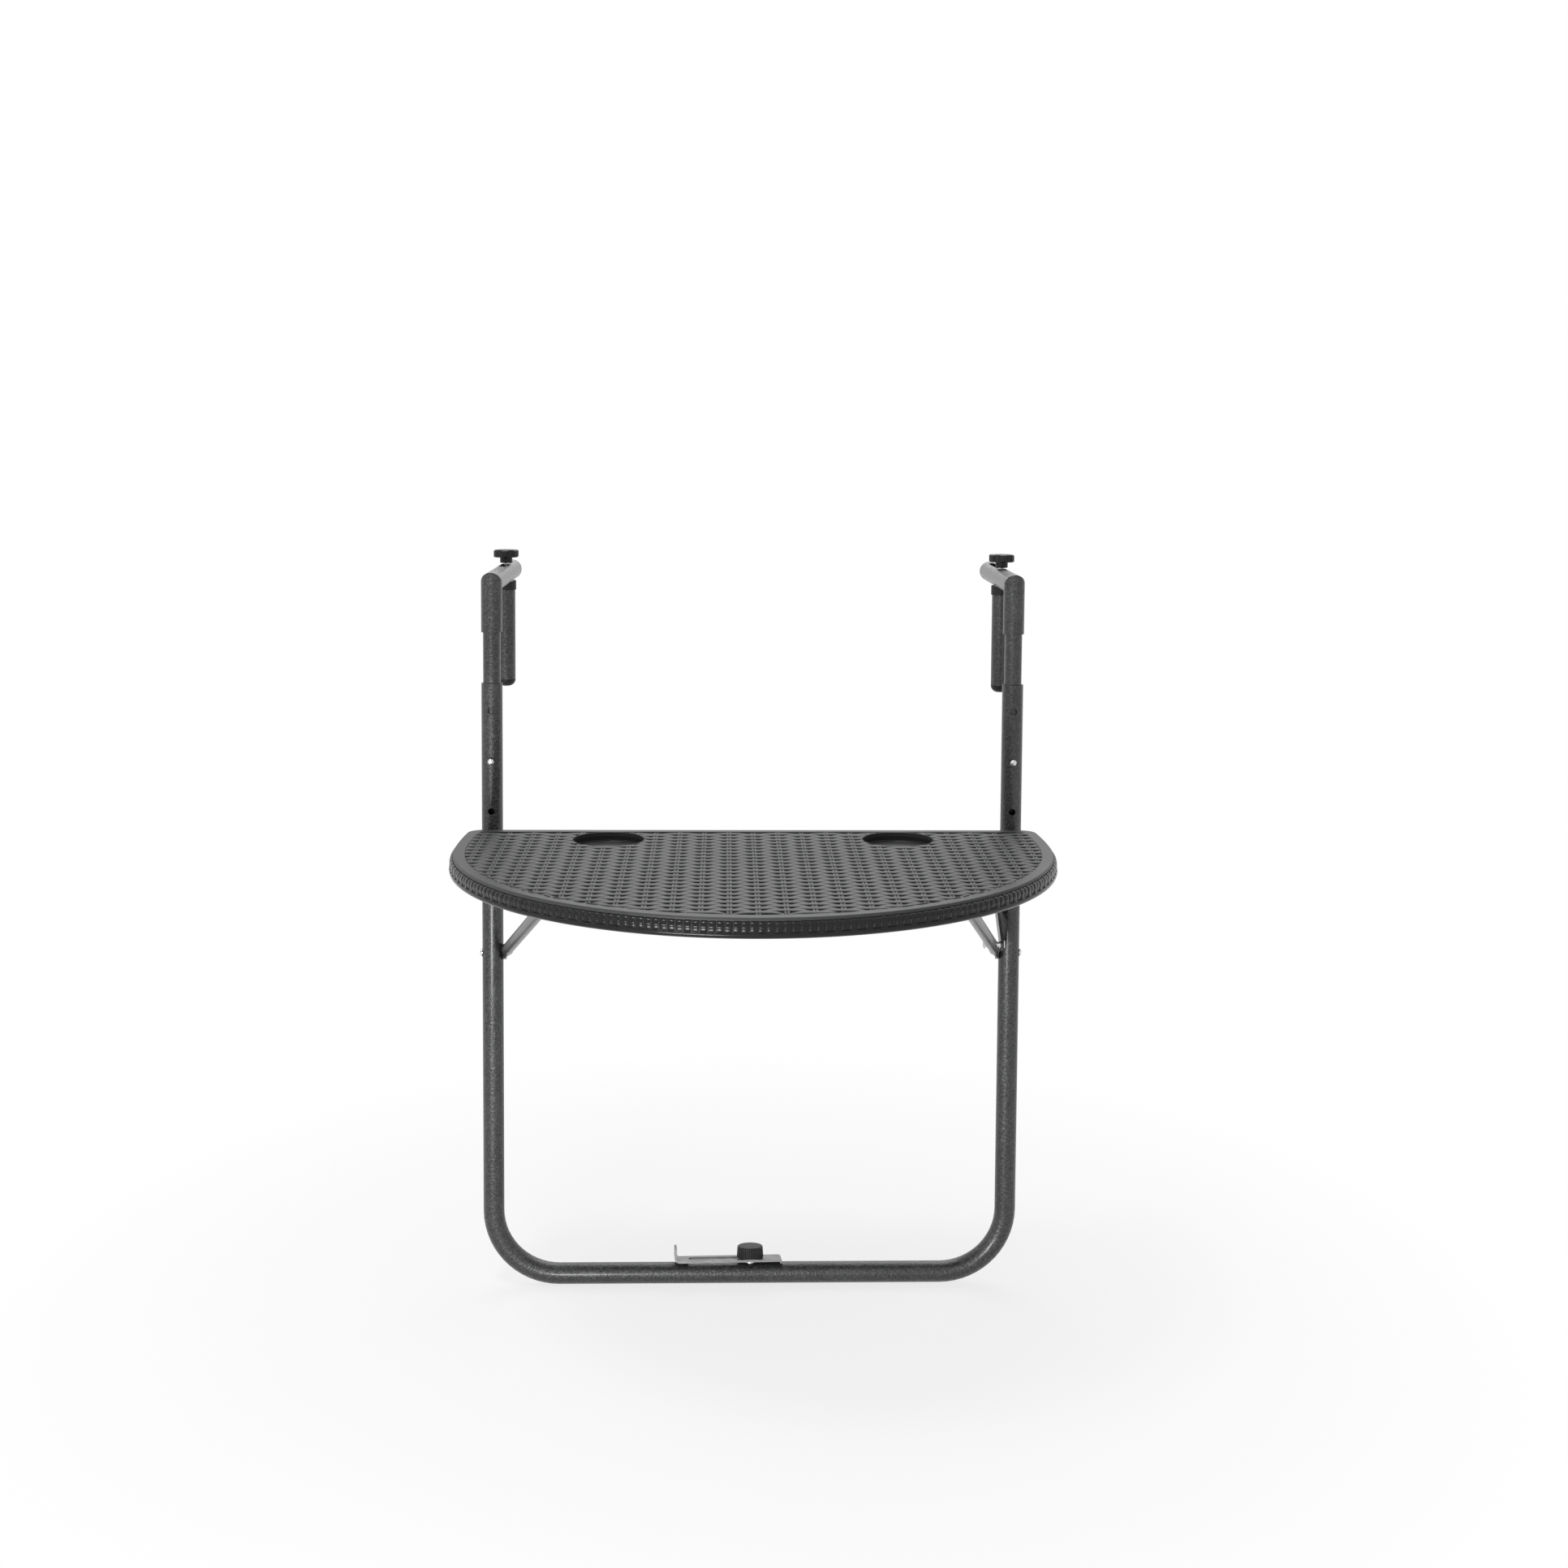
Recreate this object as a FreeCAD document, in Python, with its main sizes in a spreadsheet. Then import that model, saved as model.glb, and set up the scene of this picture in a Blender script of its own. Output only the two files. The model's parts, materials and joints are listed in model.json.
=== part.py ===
import FreeCAD, Part
import math
import os
import re
import Sketcher

# Folding table that hangs on a balcony railing. Millimetres, +Z up.
# X = 0 is the middle plane, Y = 0 the plane of the two leg axes, and Z = 0 the
# underside of the hook arms, where the rail's top touches them. The table's
# tip points to -Y, the railing is at +Y, and the right leg is at +X.

os.makedirs("parts", exist_ok=True)
doc = FreeCAD.newDocument("BalconyTable")
V = FreeCAD.Vector

# Every free size, once: name, value, meaning. A "drop" is a depth below Z = 0.
SIZES = [
    # frame tube and what is drilled in it
    ("leg_spacing", 546, "between the two leg axes"),
    ("tube_diameter", 22, "frame tube, hook arm and sleeve"),
    ("tube_wall", 1.5, "wall of those tubes"),
    ("leg_top_drop", 94, "upper end of the legs"),
    ("bottom_drop", 729, "axis of the bottom tube"),
    ("bottom_bend", 70, "bend radius at the tube's axis"),
    ("upper_pivot_drop", 274, "pivot of the top"),
    ("lower_pivot_drop", 380, "pivot of the brace"),
    ("stud_drop", 324, "stud that the lock hook catches"),
    ("button_drop", 175, "middle one of three height holes"),
    ("hole_pitch", 53, "between two height holes"),
    ("button_hole", 7, "height hole"),
    # rivets
    ("rivet_shank", 6, "pivot rivet"),
    ("rivet_fit", 0.05, "gap round a turning shank"),
    ("rivet_head", 9, "head's diameter"),
    ("rivet_rise", 2.2, "head's height"),
    ("stud_shank", 5, "lock stud"),
    ("stud_reach", 5.2, "stud beyond the leg's inner face"),
    # telescoping hook
    ("inner_wall", 1.2, "wall of the inner tube"),
    ("slide_clearance", 0.4, "inner tube in the leg, radial"),
    ("press_clearance", 0.02, "inner tube in the sleeve, radial"),
    ("inner_drop", 209, "lower end of the inner tube"),
    ("sleeve_drop", 40.5, "lower end of the sleeve"),
    ("arm_length", 200, "leg axis to the arm's open end"),
    ("arm_cap_dome", 10.5, "dome on the arm's end"),
    ("plug_length", 12, "cap's plug in its tube"),
    ("plug_clearance", 0.1, "plug in its tube, radial"),
    ("slot_near", 87, "slot's near end"),
    ("slot_far", 179, "slot's far end"),
    ("slot_width", 8.6, "slot in the arm"),
    ("gusset_side", 13, "gusset under the mitre"),
    ("gusset_plate", 2.5, "gusset's thickness"),
    ("button_diameter", 6.5, "snap button"),
    ("button_proud", 5.5, "button beyond the leg's face"),
    ("button_flange", 1, "thickness of the collar behind the button"),
    ("button_collar", 0.8, "collar beyond the button, radial"),
    ("collar_depth", 1.2, "collar's face behind the inner tube's bore"),
    ("spring_width", 8, "leaf spring"),
    ("spring_leaf", 0.6, "leaf's thickness"),
    ("spring_length", 30, "leaf's length below its button"),
    # clamp
    ("post_left", 142, "left post from the leg's plane"),
    ("post_right", 100, "right post from the leg's plane"),
    ("post_diameter", 20, "clamp post"),
    ("post_wall", 1.5, "post's wall"),
    ("post_top_drop", 7.5, "post's upper end"),
    ("post_end_drop", 107, "post's lower end"),
    ("post_cap_dome", 8, "dome under the post"),
    ("saddle_lap", 2.6, "saddle's ears up the arm's side"),
    ("saddle_clearance", 0.3, "saddle to the arm"),
    ("spigot_length", 6, "saddle's spigot in the post"),
    ("insert_length", 20, "threaded plug in the post"),
    ("clamp_bolt", 8, "bolt through arm and saddle"),
    ("bolt_end_drop", 37, "bolt's lower end"),
    ("thread_fit", 0.05, "bolt in its thread, radial"),
    ("bolt_clearance", 0.2, "bolt in a plain hole, radial"),
    ("knob_diameter", 28, "lobed knob over the lobes"),
    ("knob_height", 8, "lobed part of the knob"),
    ("knob_lobes", 6, "lobes round the knob"),
    ("lobe_valley", 6, "radius of the valley between lobes"),
    ("valley_depth", 2.6, "depth of that valley"),
    ("knob_neck", 13.5, "neck under the knob"),
    ("neck_height", 6.2, "neck's height"),
    ("knob_clearance", 0.3, "neck above the arm"),
    # top
    ("top_width", 600, "widest, twice the front radius"),
    ("front_centre", 109, "front arc's centre from the leg plane"),
    ("side_radius", 800, "slight curve of the sides"),
    ("rear_edge", 23, "rear edge from the leg plane"),
    ("rear_corner", 17, "rear corner"),
    ("top_drop", 244, "upper face of the top"),
    ("top_thickness", 18, "rim's height"),
    ("deck_thickness", 4, "deck inside the rim"),
    ("rim_wall", 5, "rim's wall below the deck"),
    ("rim_round", 2.2, "rim's upper rounding"),
    ("rim_under_round", 3, "rim's lower rounding"),
    ("deck_inset", 2.4, "deck's edge, in from the rim's outside"),
    ("rim_step", 3.6, "rim below the face of the deck"),
    ("deck_round", 1.8, "rounding of the deck's edge"),
    ("border_width", 14, "smooth border round the woven field"),
    ("field_depth", 1.2, "woven field below the border"),
    ("cup_diameter", 72, "cup recess"),
    ("cup_depth", 9.5, "cup recess below the face"),
    ("cup_side", 147, "cup's centre from the middle"),
    ("cup_front", 76, "cup's centre from the leg plane"),
    ("cup_wall", 2.5, "wall and floor of the recess"),
    ("cup_step", 2.2, "ledge inside the recess, radial"),
    ("cup_step_height", 2, "ledge above the floor"),
    ("cup_floor_round", 1.5, "between floor and ledge"),
    ("rib_thickness", 2.5, "ribs under the deck"),
    ("rib_height", 11, "ribs below the deck"),
    ("boss_diameter", 11, "screw boss"),
    # bent rail under the top
    ("bar_diameter", 12, "rail and brace tube"),
    ("bar_wall", 1.2, "wall of those tubes"),
    ("lug_thickness", 3, "flattened end"),
    ("lug_width", 15, "flattened end"),
    ("lug_gap", 0.3, "lug to the leg"),
    ("rail_drop", 255, "rail's axis under the top"),
    ("rail_rise", 38, "slope of its ends, degrees"),
    ("rail_reach", 168, "rail's crossbar from the leg plane"),
    ("rail_corner", 40, "rail's corner radius"),
    ("rail_knee", 12, "bend from the slope to the level"),
    ("rail_lug_behind", 11.3, "lug's end behind its pivot"),
    ("lug_plate", 10, "flat part before the pivot"),
    ("lug_taper", 11, "from flat to round"),
    ("notch_clearance", 1, "rim's notch round the rail"),
    ("rail_screw_side", 110, "rail's screws from the middle"),
    ("screw_shank", 4, "self-tapping screw"),
    ("screw_head", 8, "its head"),
    ("screw_head_rise", 2, "its head's height"),
    ("screw_cover", 2.6, "pilot hole's end below the face"),
    # brace
    ("brace_length", 277, "lower pivot to the crossbar's axis"),
    ("crossbar_drop", 272.2, "crossbar's axis with the top open"),
    ("brace_half", 198, "crossbar's corner from the middle"),
    ("brace_corner", 36, "corner radius"),
    ("brace_lug_plate", 7, "flat part before the pivot"),
    ("saddle_side", 120, "brace saddle from the middle"),
    ("saddle_width", 18, "brace saddle along the bar"),
    ("saddle_fit", 0.3, "saddle round the crossbar"),
    ("saddle_lip", 5, "lip's edge above the crossbar's axis"),
    ("saddle_base", 2.6, "saddle's base"),
    # lock hook
    ("hook_forward", 50, "its pivot from the leg plane"),
    ("hook_drop", 359, "its pivot"),
    ("hook_plate", 3, "thickness"),
    ("hook_lobe", 11, "radius round the stud"),
    ("hook_waist", 14, "bar's width"),
    ("throat_width", 6.4, "throat for the stud"),
    ("throat_slope", 34, "throat below the level, degrees"),
    ("hook_gap", 2, "hook's outer face to the leg"),
    # standoff on the bottom tube
    ("plate_reach", 81, "flange from the screw"),
    ("plate_tail", 34, "other end from the screw"),
    ("plate_width", 21, "plate"),
    ("plate_thickness", 2.5, "plate"),
    ("plate_bend", 3, "inner bend radius"),
    ("flange_height", 12, "upright flange over the plate"),
    ("tail_lip", 1.7, "lip bent down at the tail"),
    ("plate_slot_far", 66, "slot's end from the screw"),
    ("plate_slot_near", 5.3, "slot beyond the screw"),
    ("plate_slot_width", 9, "slot"),
    ("plate_turn", 3, "plate's turn on the tube, degrees"),
    ("foot_lean", 8, "screw's lean back round the tube, degrees"),
    ("washer_height", 2, "washer under the plate"),
    ("washer_diameter", 12, "washer"),
    ("collar_height", 2, "washer's collar in the slot"),
    ("collar_fit", 0.1, "collar in the slot, each side"),
    ("foot_knob", 28.4, "fluted knob at its lower edge"),
    ("foot_knob_top", 27, "fluted knob at its upper edge"),
    ("foot_knob_height", 11.7, "fluted knob"),
    ("foot_knob_round", 1.5, "its upper rounding"),
    ("foot_flutes", 36, "flutes round it"),
    ("flute_radius", 0.9, "flute"),
    ("foot_hub", 16, "hub under the knob"),
    ("foot_hub_height", 0.8, "that hub"),
    ("foot_hub_gap", 0.1, "hub to the plate"),
    ("foot_crown", 4, "knob over its screw's end"),
    ("foot_screw", 6, "its screw"),
    ("foot_screw_reach", 9, "screw below the tube's top"),
    ("foot_insert", 9, "rivet nut in the tube"),
    ("foot_insert_length", 8, "rivet nut"),
]

sheet = doc.addObject("Spreadsheet::Sheet", "Sizes")
for line, (name, value, meaning) in enumerate(SIZES, start=1):
    sheet.set("A%d" % line, meaning)
    sheet.set("B%d" % line, str(value))
    sheet.setAlias("B%d" % line, name)
doc.recompute()

NAMES = re.compile(r"\b(" + "|".join(name for name, value, meaning in SIZES) + r")\b")

# Sizes that follow from the free ones, as expressions over the sheet's names.
LEG_X = "(leg_spacing / 2)"
TUBE_R = "(tube_diameter / 2)"
BORE_R = "(tube_diameter / 2 - tube_wall)"
INNER_R = "(tube_diameter / 2 - tube_wall - slide_clearance)"
INNER_BORE_R = "(tube_diameter / 2 - tube_wall - slide_clearance - inner_wall)"
BAR_R = "(bar_diameter / 2)"
LUG_X = "(leg_spacing / 2 - tube_diameter / 2 - lug_gap - lug_thickness / 2)"
BAR_X = "(leg_spacing / 2 - tube_diameter / 2 - lug_gap - bar_diameter / 2)"
PIVOT_R = "(rivet_shank / 2 + rivet_fit)"
TOP_UNDER = "(top_drop + top_thickness)"
DECK_UNDER = "(top_drop + deck_thickness)"
FRONT_R = "(top_width / 2)"
BRACE_RISE = "((lower_pivot_drop - crossbar_drop) / brace_length)"
BRACE_RUN = "sqrt(1 - %s ^ 2)" % BRACE_RISE
BRACE_ANGLE = "asin(%s)" % BRACE_RISE
CROSSBAR_Y = "(brace_length * %s)" % BRACE_RUN
PLATE_UNDER = "(bottom_drop - tube_diameter / 2 - washer_height)"
PLATE_TOP = "(bottom_drop - tube_diameter / 2 - washer_height - plate_thickness)"
POST_BORE_R = "(post_diameter / 2 - post_wall)"
HOOK_X = "(leg_spacing / 2 - tube_diameter / 2 - hook_gap)"
SCREW_HOLE = "(screw_shank / 2 + press_clearance)"


# Working with the sheet.

def bound(text):
    """The expression with each of the sheet's names in full."""
    return NAMES.sub(r"Sizes.\1", text)


def size(text):
    """Number that an expression over the sheet's names gives."""
    return float(sheet.evalExpression(bound(text)))


def place(piece, x="0", y="0", z="0"):
    """Placement of a sub-part, tied to the sheet."""
    for axis, text in zip("xyz", (x, y, z)):
        piece.setExpression("Placement.Base." + axis, bound(text))


def finish(piece, label):
    """Names a sub-part, which also names its file."""
    piece.Label = label
    NODES.append(piece)
    return piece


NODES = []


# Sketches.

def new_body(name):
    body = doc.addObject("PartDesign::Body", name)
    body.AllowCompound = True
    return body


def origin_feature(body, role):
    return next(f for f in body.Origin.OriginFeatures if f.Role == role)


def sketch(body, role, offset="0"):
    """Sketch on an origin plane, or on one parallel to it."""
    flat = body.newObject("Sketcher::SketchObject", body.Name + "_sketch")
    flat.AttachmentSupport = [(origin_feature(body, role), "")]
    flat.MapMode = "FlatFace"
    flat.setExpression(".AttachmentOffset.Base.z", bound(offset))
    return flat


def dimension(flat, kind, targets, text):
    """Dimension of a sketch that follows the sheet."""
    number = flat.addConstraint(Sketcher.Constraint(kind, *targets, size(text)))
    flat.setExpression("Constraints[%d]" % number, bound(text))


def pin(flat, geometry, point, x, y):
    """Holds one point of a sketch at x, y."""
    dimension(flat, "DistanceX", (geometry, point), x)
    dimension(flat, "DistanceY", (geometry, point), y)


def circle(flat, x, y, radius):
    centre = V(size(x), size(y), 0)
    ring = flat.addGeometry(Part.Circle(centre, V(0, 0, 1), size(radius)))
    pin(flat, ring, 3, x, y)
    dimension(flat, "Radius", (ring,), radius)


def slot(flat, x0, y0, x1, y1, radius):
    """Round-ended slot between two centres."""
    near = V(size(x0), size(y0), 0)
    far = V(size(x1), size(y1), 0)
    r = size(radius)
    along = (far - near).normalize()
    side = V(-along.y, along.x, 0) * r
    turn = math.atan2(along.y, along.x)
    quarter = math.pi / 2
    up = V(0, 0, 1)
    start = flat.addGeometry(
        Part.ArcOfCircle(Part.Circle(near, up, r), turn + quarter, turn + 3 * quarter))
    end = flat.addGeometry(
        Part.ArcOfCircle(Part.Circle(far, up, r), turn - quarter, turn + quarter))
    low = flat.addGeometry(Part.LineSegment(near - side, far - side))
    high = flat.addGeometry(Part.LineSegment(far + side, near + side))
    pin(flat, start, 3, x0, y0)
    pin(flat, end, 3, x1, y1)
    dimension(flat, "Radius", (start,), radius)
    flat.addConstraint(Sketcher.Constraint("Equal", start, end))
    for first, a, second, b in ((start, 2, low, 1), (low, 2, end, 1),
                                (end, 2, high, 1), (high, 2, start, 1)):
        flat.addConstraint(Sketcher.Constraint("Tangent", first, a, second, b))


def outline(flat, corners, closed=True):
    """Straight outline with rounded corners; a corner is x, y and perhaps a radius."""
    count = len(corners)
    spots = [V(size(c[0]), size(c[1]), 0) for c in corners]
    radii = [size(c[2]) if len(c) > 2 else 0.0 for c in corners]
    ends = {}
    for i, spot in enumerate(spots):
        if not radii[i]:
            ends[i] = (spot, spot, 0)
            continue
        arrive = (spot - spots[i - 1]).normalize()
        leave = (spots[(i + 1) % count] - spot).normalize()
        turn = math.atan2(arrive.x * leave.y - arrive.y * leave.x, arrive.dot(leave))
        cut = radii[i] * math.tan(abs(turn) / 2)
        ends[i] = (spot - arrive * cut, spot + leave * cut, turn)
    sides = count if closed else count - 1
    lines = []
    for i in range(sides):
        after = ends[(i + 1) % count][0]
        lines.append(flat.addGeometry(Part.LineSegment(ends[i][1], after)))
    for i in range(count):
        before = lines[i - 1] if closed or i > 0 else None
        after = lines[i] if i < sides else None
        if radii[i]:
            round_corner(flat, spots[i], corners[i], ends[i], before, after)
            continue
        if before is not None and after is not None:
            flat.addConstraint(Sketcher.Constraint("Coincident", before, 2, after, 1))
        if after is not None:
            pin(flat, after, 1, corners[i][0], corners[i][1])
        else:
            pin(flat, before, 2, corners[i][0], corners[i][1])


def round_corner(flat, spot, corner, end, before, after):
    """Arc between two sides whose sharp corner stays as a construction point."""
    start, stop, turn = end
    mark = flat.addGeometry(Part.Point(spot), True)
    pin(flat, mark, 1, corner[0], corner[1])
    flat.addConstraint(Sketcher.Constraint("PointOnObject", mark, 1, before))
    flat.addConstraint(Sketcher.Constraint("PointOnObject", mark, 1, after))
    arrive = (spot - start).normalize()
    left = V(-arrive.y, arrive.x, 0)
    radius = size(corner[2])
    bend = 1 if turn > 0 else -1
    centre = start + left * (radius * bend)
    angles = [math.atan2(p.y - centre.y, p.x - centre.x) for p in (start, stop)]
    if bend < 0:
        angles.reverse()
    if angles[1] < angles[0]:
        angles[1] += 2 * math.pi
    arc = flat.addGeometry(
        Part.ArcOfCircle(Part.Circle(centre, V(0, 0, 1), radius), angles[0], angles[1]))
    first, last = (1, 2) if bend > 0 else (2, 1)
    flat.addConstraint(Sketcher.Constraint("Tangent", before, 2, arc, first))
    flat.addConstraint(Sketcher.Constraint("Tangent", arc, last, after, 1))
    dimension(flat, "Radius", (arc,), corner[2])


# Features.

def pad(body, flat, length, reverse=False, both=False, back=None):
    """Extrusion: one way, evenly both ways, or back by its own length too."""
    block = body.newObject("PartDesign::Pad", body.Name + "_pad")
    block.Profile = flat
    block.Reversed = reverse
    block.setExpression("Length", bound(length))
    if both:
        block.SideType = "Symmetric"
    if back:
        block.SideType = "Two sides"
        block.setExpression("Length2", bound(back))
    doc.recompute()
    return block


def pocket(body, flat, length=None, reverse=False):
    """Cut by a length, or right through both ways. It has to remove something."""
    before = body.Shape.Volume
    hole = body.newObject("PartDesign::Pocket", body.Name + "_pocket")
    hole.Profile = flat
    hole.Reversed = reverse
    if length:
        hole.setExpression("Length", bound(length))
    else:
        hole.Type = "ThroughAll"
        hole.SideType = "Symmetric"
    doc.recompute()
    if body.Shape.Volume > before - 0.01:
        raise ValueError(hole.Name + " removes nothing")
    return hole


def revolve(body, flat, role):
    ring = body.newObject("PartDesign::Revolution", body.Name + "_revolution")
    ring.Profile = flat
    ring.ReferenceAxis = (origin_feature(body, role), [""])
    ring.Angle = 360
    doc.recompute()
    return ring


def polar(body, feature, role, count):
    """Repeats a feature round an origin axis."""
    wheel = body.newObject("PartDesign::PolarPattern", body.Name + "_pattern")
    wheel.Originals = [feature]
    wheel.Axis = (origin_feature(body, role), [""])
    wheel.Angle = 360
    wheel.setExpression("Occurrences", bound(count))
    body.Tip = wheel
    doc.recompute()
    return wheel


def mirror(body, features, role):
    """Repeats features on the other side of an origin plane."""
    twin = body.newObject("PartDesign::Mirrored", body.Name + "_mirror")
    twin.Originals = features
    twin.MirrorPlane = (origin_feature(body, role), [""])
    body.Tip = twin
    doc.recompute()
    return twin


def soften(body, feature, test, radius, kind="Fillet"):
    """Fillet or chamfer on the edges that the test picks."""
    names = ["Edge%d" % n for n, edge in enumerate(feature.Shape.Edges, start=1) if test(edge)]
    edge_work = body.newObject("PartDesign::" + kind, body.Name + "_" + kind.lower())
    edge_work.Base = (feature, names)
    edge_work.setExpression("Radius" if kind == "Fillet" else "Size", bound(radius))
    doc.recompute()
    return edge_work


def level(edge, height):
    """True for an edge that lies wholly at one height."""
    box = edge.BoundBox
    return abs(box.ZMin - height) < 0.01 and abs(box.ZMax - height) < 0.01


def group(label, pieces):
    """Several separate solids of one node."""
    for piece in pieces:
        piece.Visibility = False
    whole = doc.addObject("Part::Compound", label)
    whole.Links = pieces
    return finish(whole, label)


# Frame.

def make_frame_tube():
    body = new_body("frame_tube")
    spine = sketch(body, "XZ_Plane")
    outline(spine, [
        ("-" + LEG_X, "-leg_top_drop"),
        ("-" + LEG_X, "-bottom_drop", "bottom_bend"),
        (LEG_X, "-bottom_drop", "bottom_bend"),
        (LEG_X, "-leg_top_drop"),
    ], closed=False)
    ring = sketch(body, "XY_Plane", "-leg_top_drop")
    circle(ring, "-" + LEG_X, "0", TUBE_R)
    circle(ring, "-" + LEG_X, "0", BORE_R)
    tube = body.newObject("PartDesign::AdditivePipe", "frame_tube_pipe")
    tube.Profile = ring
    tube.Spine = (spine, ["Edge%d" % n for n in range(1, len(spine.Shape.Edges) + 1)])
    doc.recompute()
    pivots = sketch(body, "YZ_Plane")
    circle(pivots, "0", "-upper_pivot_drop", "rivet_shank / 2")
    circle(pivots, "0", "-lower_pivot_drop", "rivet_shank / 2")
    pocket(body, pivots)
    stud = sketch(body, "YZ_Plane", LEG_X)
    circle(stud, "0", "-stud_drop", "stud_shank / 2")
    pocket(body, stud, TUBE_R + " + 1")
    holes = sketch(body, "XZ_Plane")
    for side in ("-", ""):
        for step in (-1, 0, 1):
            circle(holes, side + LEG_X, "-button_drop + %d * hole_pitch" % step,
                   "button_hole / 2")
    pocket(body, holes, TUBE_R + " + 1", reverse=True)
    nut = sketch(body, "XY_Plane", "-bottom_drop")
    nut.AttachmentOffset = FreeCAD.Placement(nut.AttachmentOffset.Base, leaned_back())
    circle(nut, "0", "0", "foot_insert / 2")
    pocket(body, nut, TUBE_R + " + 1", reverse=True)
    finish(body, "frame_tube")


def rivet(name, x_in, x_out, shank, head, rise, z):
    """Rivet along X: a domed head at each end of its shank."""
    body = new_body(name)
    half = sketch(body, "XZ_Plane")
    top = "(%s / 2)" % head
    outline(half, [
        ("%s - %s" % (x_in, rise), "0"),
        ("%s - %s" % (x_in, rise), "%s * 0.55" % top),
        ("%s - %s * 0.4" % (x_in, rise), top),
        (x_in, top),
        (x_in, "%s / 2" % shank),
        (x_out, "%s / 2" % shank),
        (x_out, top),
        ("%s + %s * 0.4" % (x_out, rise), top),
        ("%s + %s" % (x_out, rise), "%s * 0.55" % top),
        ("%s + %s" % (x_out, rise), "0"),
    ])
    revolve(body, half, "X_Axis")
    place(body, z=z)
    return body


def make_pivot_rivets(label, drop):
    """Two rivets, each through a leg and the lug beside it."""
    lug_face = LUG_X + " - lug_thickness / 2 - lug_gap / 3"
    leg_face = LEG_X + " + " + TUBE_R
    right = rivet(label + "_r", lug_face, leg_face, "rivet_shank", "rivet_head",
                  "rivet_rise", "-" + drop)
    left = doc.addObject("Part::Mirroring", label + "_l")
    left.Source = right
    left.Normal = V(1, 0, 0)
    group(label, [left, right])


def make_lock_stud():
    body = new_body("lock_stud")
    half = sketch(body, "XZ_Plane")
    face = "%s - %s" % (LEG_X, TUBE_R)
    neck = "stud_shank / 2"
    outline(half, [
        (face + " - stud_reach - rivet_rise", "0"),
        (face + " - stud_reach - rivet_rise", neck),
        (face + " - stud_reach - rivet_rise / 2", "rivet_head / 2 - 0.5"),
        (face + " - stud_reach", "rivet_head / 2 - 0.5"),
        (face + " - stud_reach", neck),
        (face + " + tube_wall + 0.6", neck),
        (face + " + tube_wall + 0.6", "0"),
    ])
    revolve(body, half, "X_Axis")
    place(body, z="-stud_drop")
    finish(body, "lock_stud")


# Hooks on the rail.

def mitre_cut(body, keep_arm):
    """Cuts a tube on the 45 degree plane through the mitre's two corners."""
    flat = sketch(body, "YZ_Plane")
    far = "(%s + 3)" % TUBE_R
    ends = [("-" + far, "tube_diameter + 3"), (far, "-3")]
    third = ("-" + far, "-3") if keep_arm else (far, "tube_diameter + 3")
    outline(flat, ends + [third])
    pocket(body, flat)


def make_hook_arm(side, sign):
    body = new_body("hook_arm_" + side)
    ring = sketch(body, "XZ_Plane")
    circle(ring, "0", TUBE_R, TUBE_R)
    circle(ring, "0", TUBE_R, BORE_R)
    pad(body, ring, "arm_length", reverse=True, back=TUBE_R)
    mitre_cut(body, keep_arm=True)
    through = sketch(body, "XY_Plane")
    round_end = "slot_width / 2"
    slot(through, "0", "slot_near + " + round_end, "0", "slot_far - " + round_end, round_end)
    pocket(body, through)
    place(body, x=sign + LEG_X)
    finish(body, "hook_arm_" + side)


def make_hook_sleeve(side, sign):
    body = new_body("hook_sleeve_" + side)
    ring = sketch(body, "XY_Plane")
    circle(ring, "0", "0", TUBE_R)
    circle(ring, "0", "0", INNER_R + " + press_clearance")
    pad(body, ring, "tube_diameter", back="sleeve_drop")
    mitre_cut(body, keep_arm=False)
    place(body, x=sign + LEG_X)
    finish(body, "hook_sleeve_" + side)


def make_hook_gusset(side, sign):
    """Small plate in the corner between arm and sleeve, with a hollow edge."""
    body = new_body("hook_gusset_" + side)
    flat = sketch(body, "YZ_Plane")
    far = "(%s + gusset_side)" % TUBE_R
    outline(flat, [
        (TUBE_R, "0"),
        (TUBE_R, "-gusset_side"),
        (TUBE_R + " + gusset_side * 0.3", "-gusset_side * 0.3", "gusset_side * 0.4"),
        (far, "0"),
    ])
    pad(body, flat, "gusset_plate", both=True)
    place(body, x=sign + LEG_X)
    finish(body, "hook_gusset_" + side)


def make_inner_tube(side, sign):
    body = new_body("inner_tube_" + side)
    ring = sketch(body, "XY_Plane", "-inner_drop")
    circle(ring, "0", "0", INNER_R)
    circle(ring, "0", "0", INNER_BORE_R)
    pad(body, ring, "inner_drop - 2")
    hole = sketch(body, "XZ_Plane")
    circle(hole, "0", "-button_drop", "button_hole / 2")
    pocket(body, hole, TUBE_R, reverse=True)
    place(body, x=sign + LEG_X)
    finish(body, "inner_tube_" + side)


def make_snap_button(side, sign):
    """Domed button with a collar behind the inner tube's wall."""
    body = new_body("snap_button_" + side)
    half = sketch(body, "YZ_Plane")
    radius = "button_diameter / 2"
    collar = "(%s - collar_depth)" % INNER_BORE_R
    rim = radius + " + button_collar"
    nose = "(%s + button_proud)" % TUBE_R
    outline(half, [
        ("-" + nose, "0"),
        ("-" + nose, radius, "button_diameter * 0.35"),
        ("-" + collar, radius),
        ("-" + collar, rim),
        ("-" + collar + " + button_flange", rim),
        ("-" + collar + " + button_flange", "0"),
    ])
    revolve(body, half, "Y_Axis")
    place(body, x=sign + LEG_X, z="-button_drop")
    finish(body, "snap_button_" + side)


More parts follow.
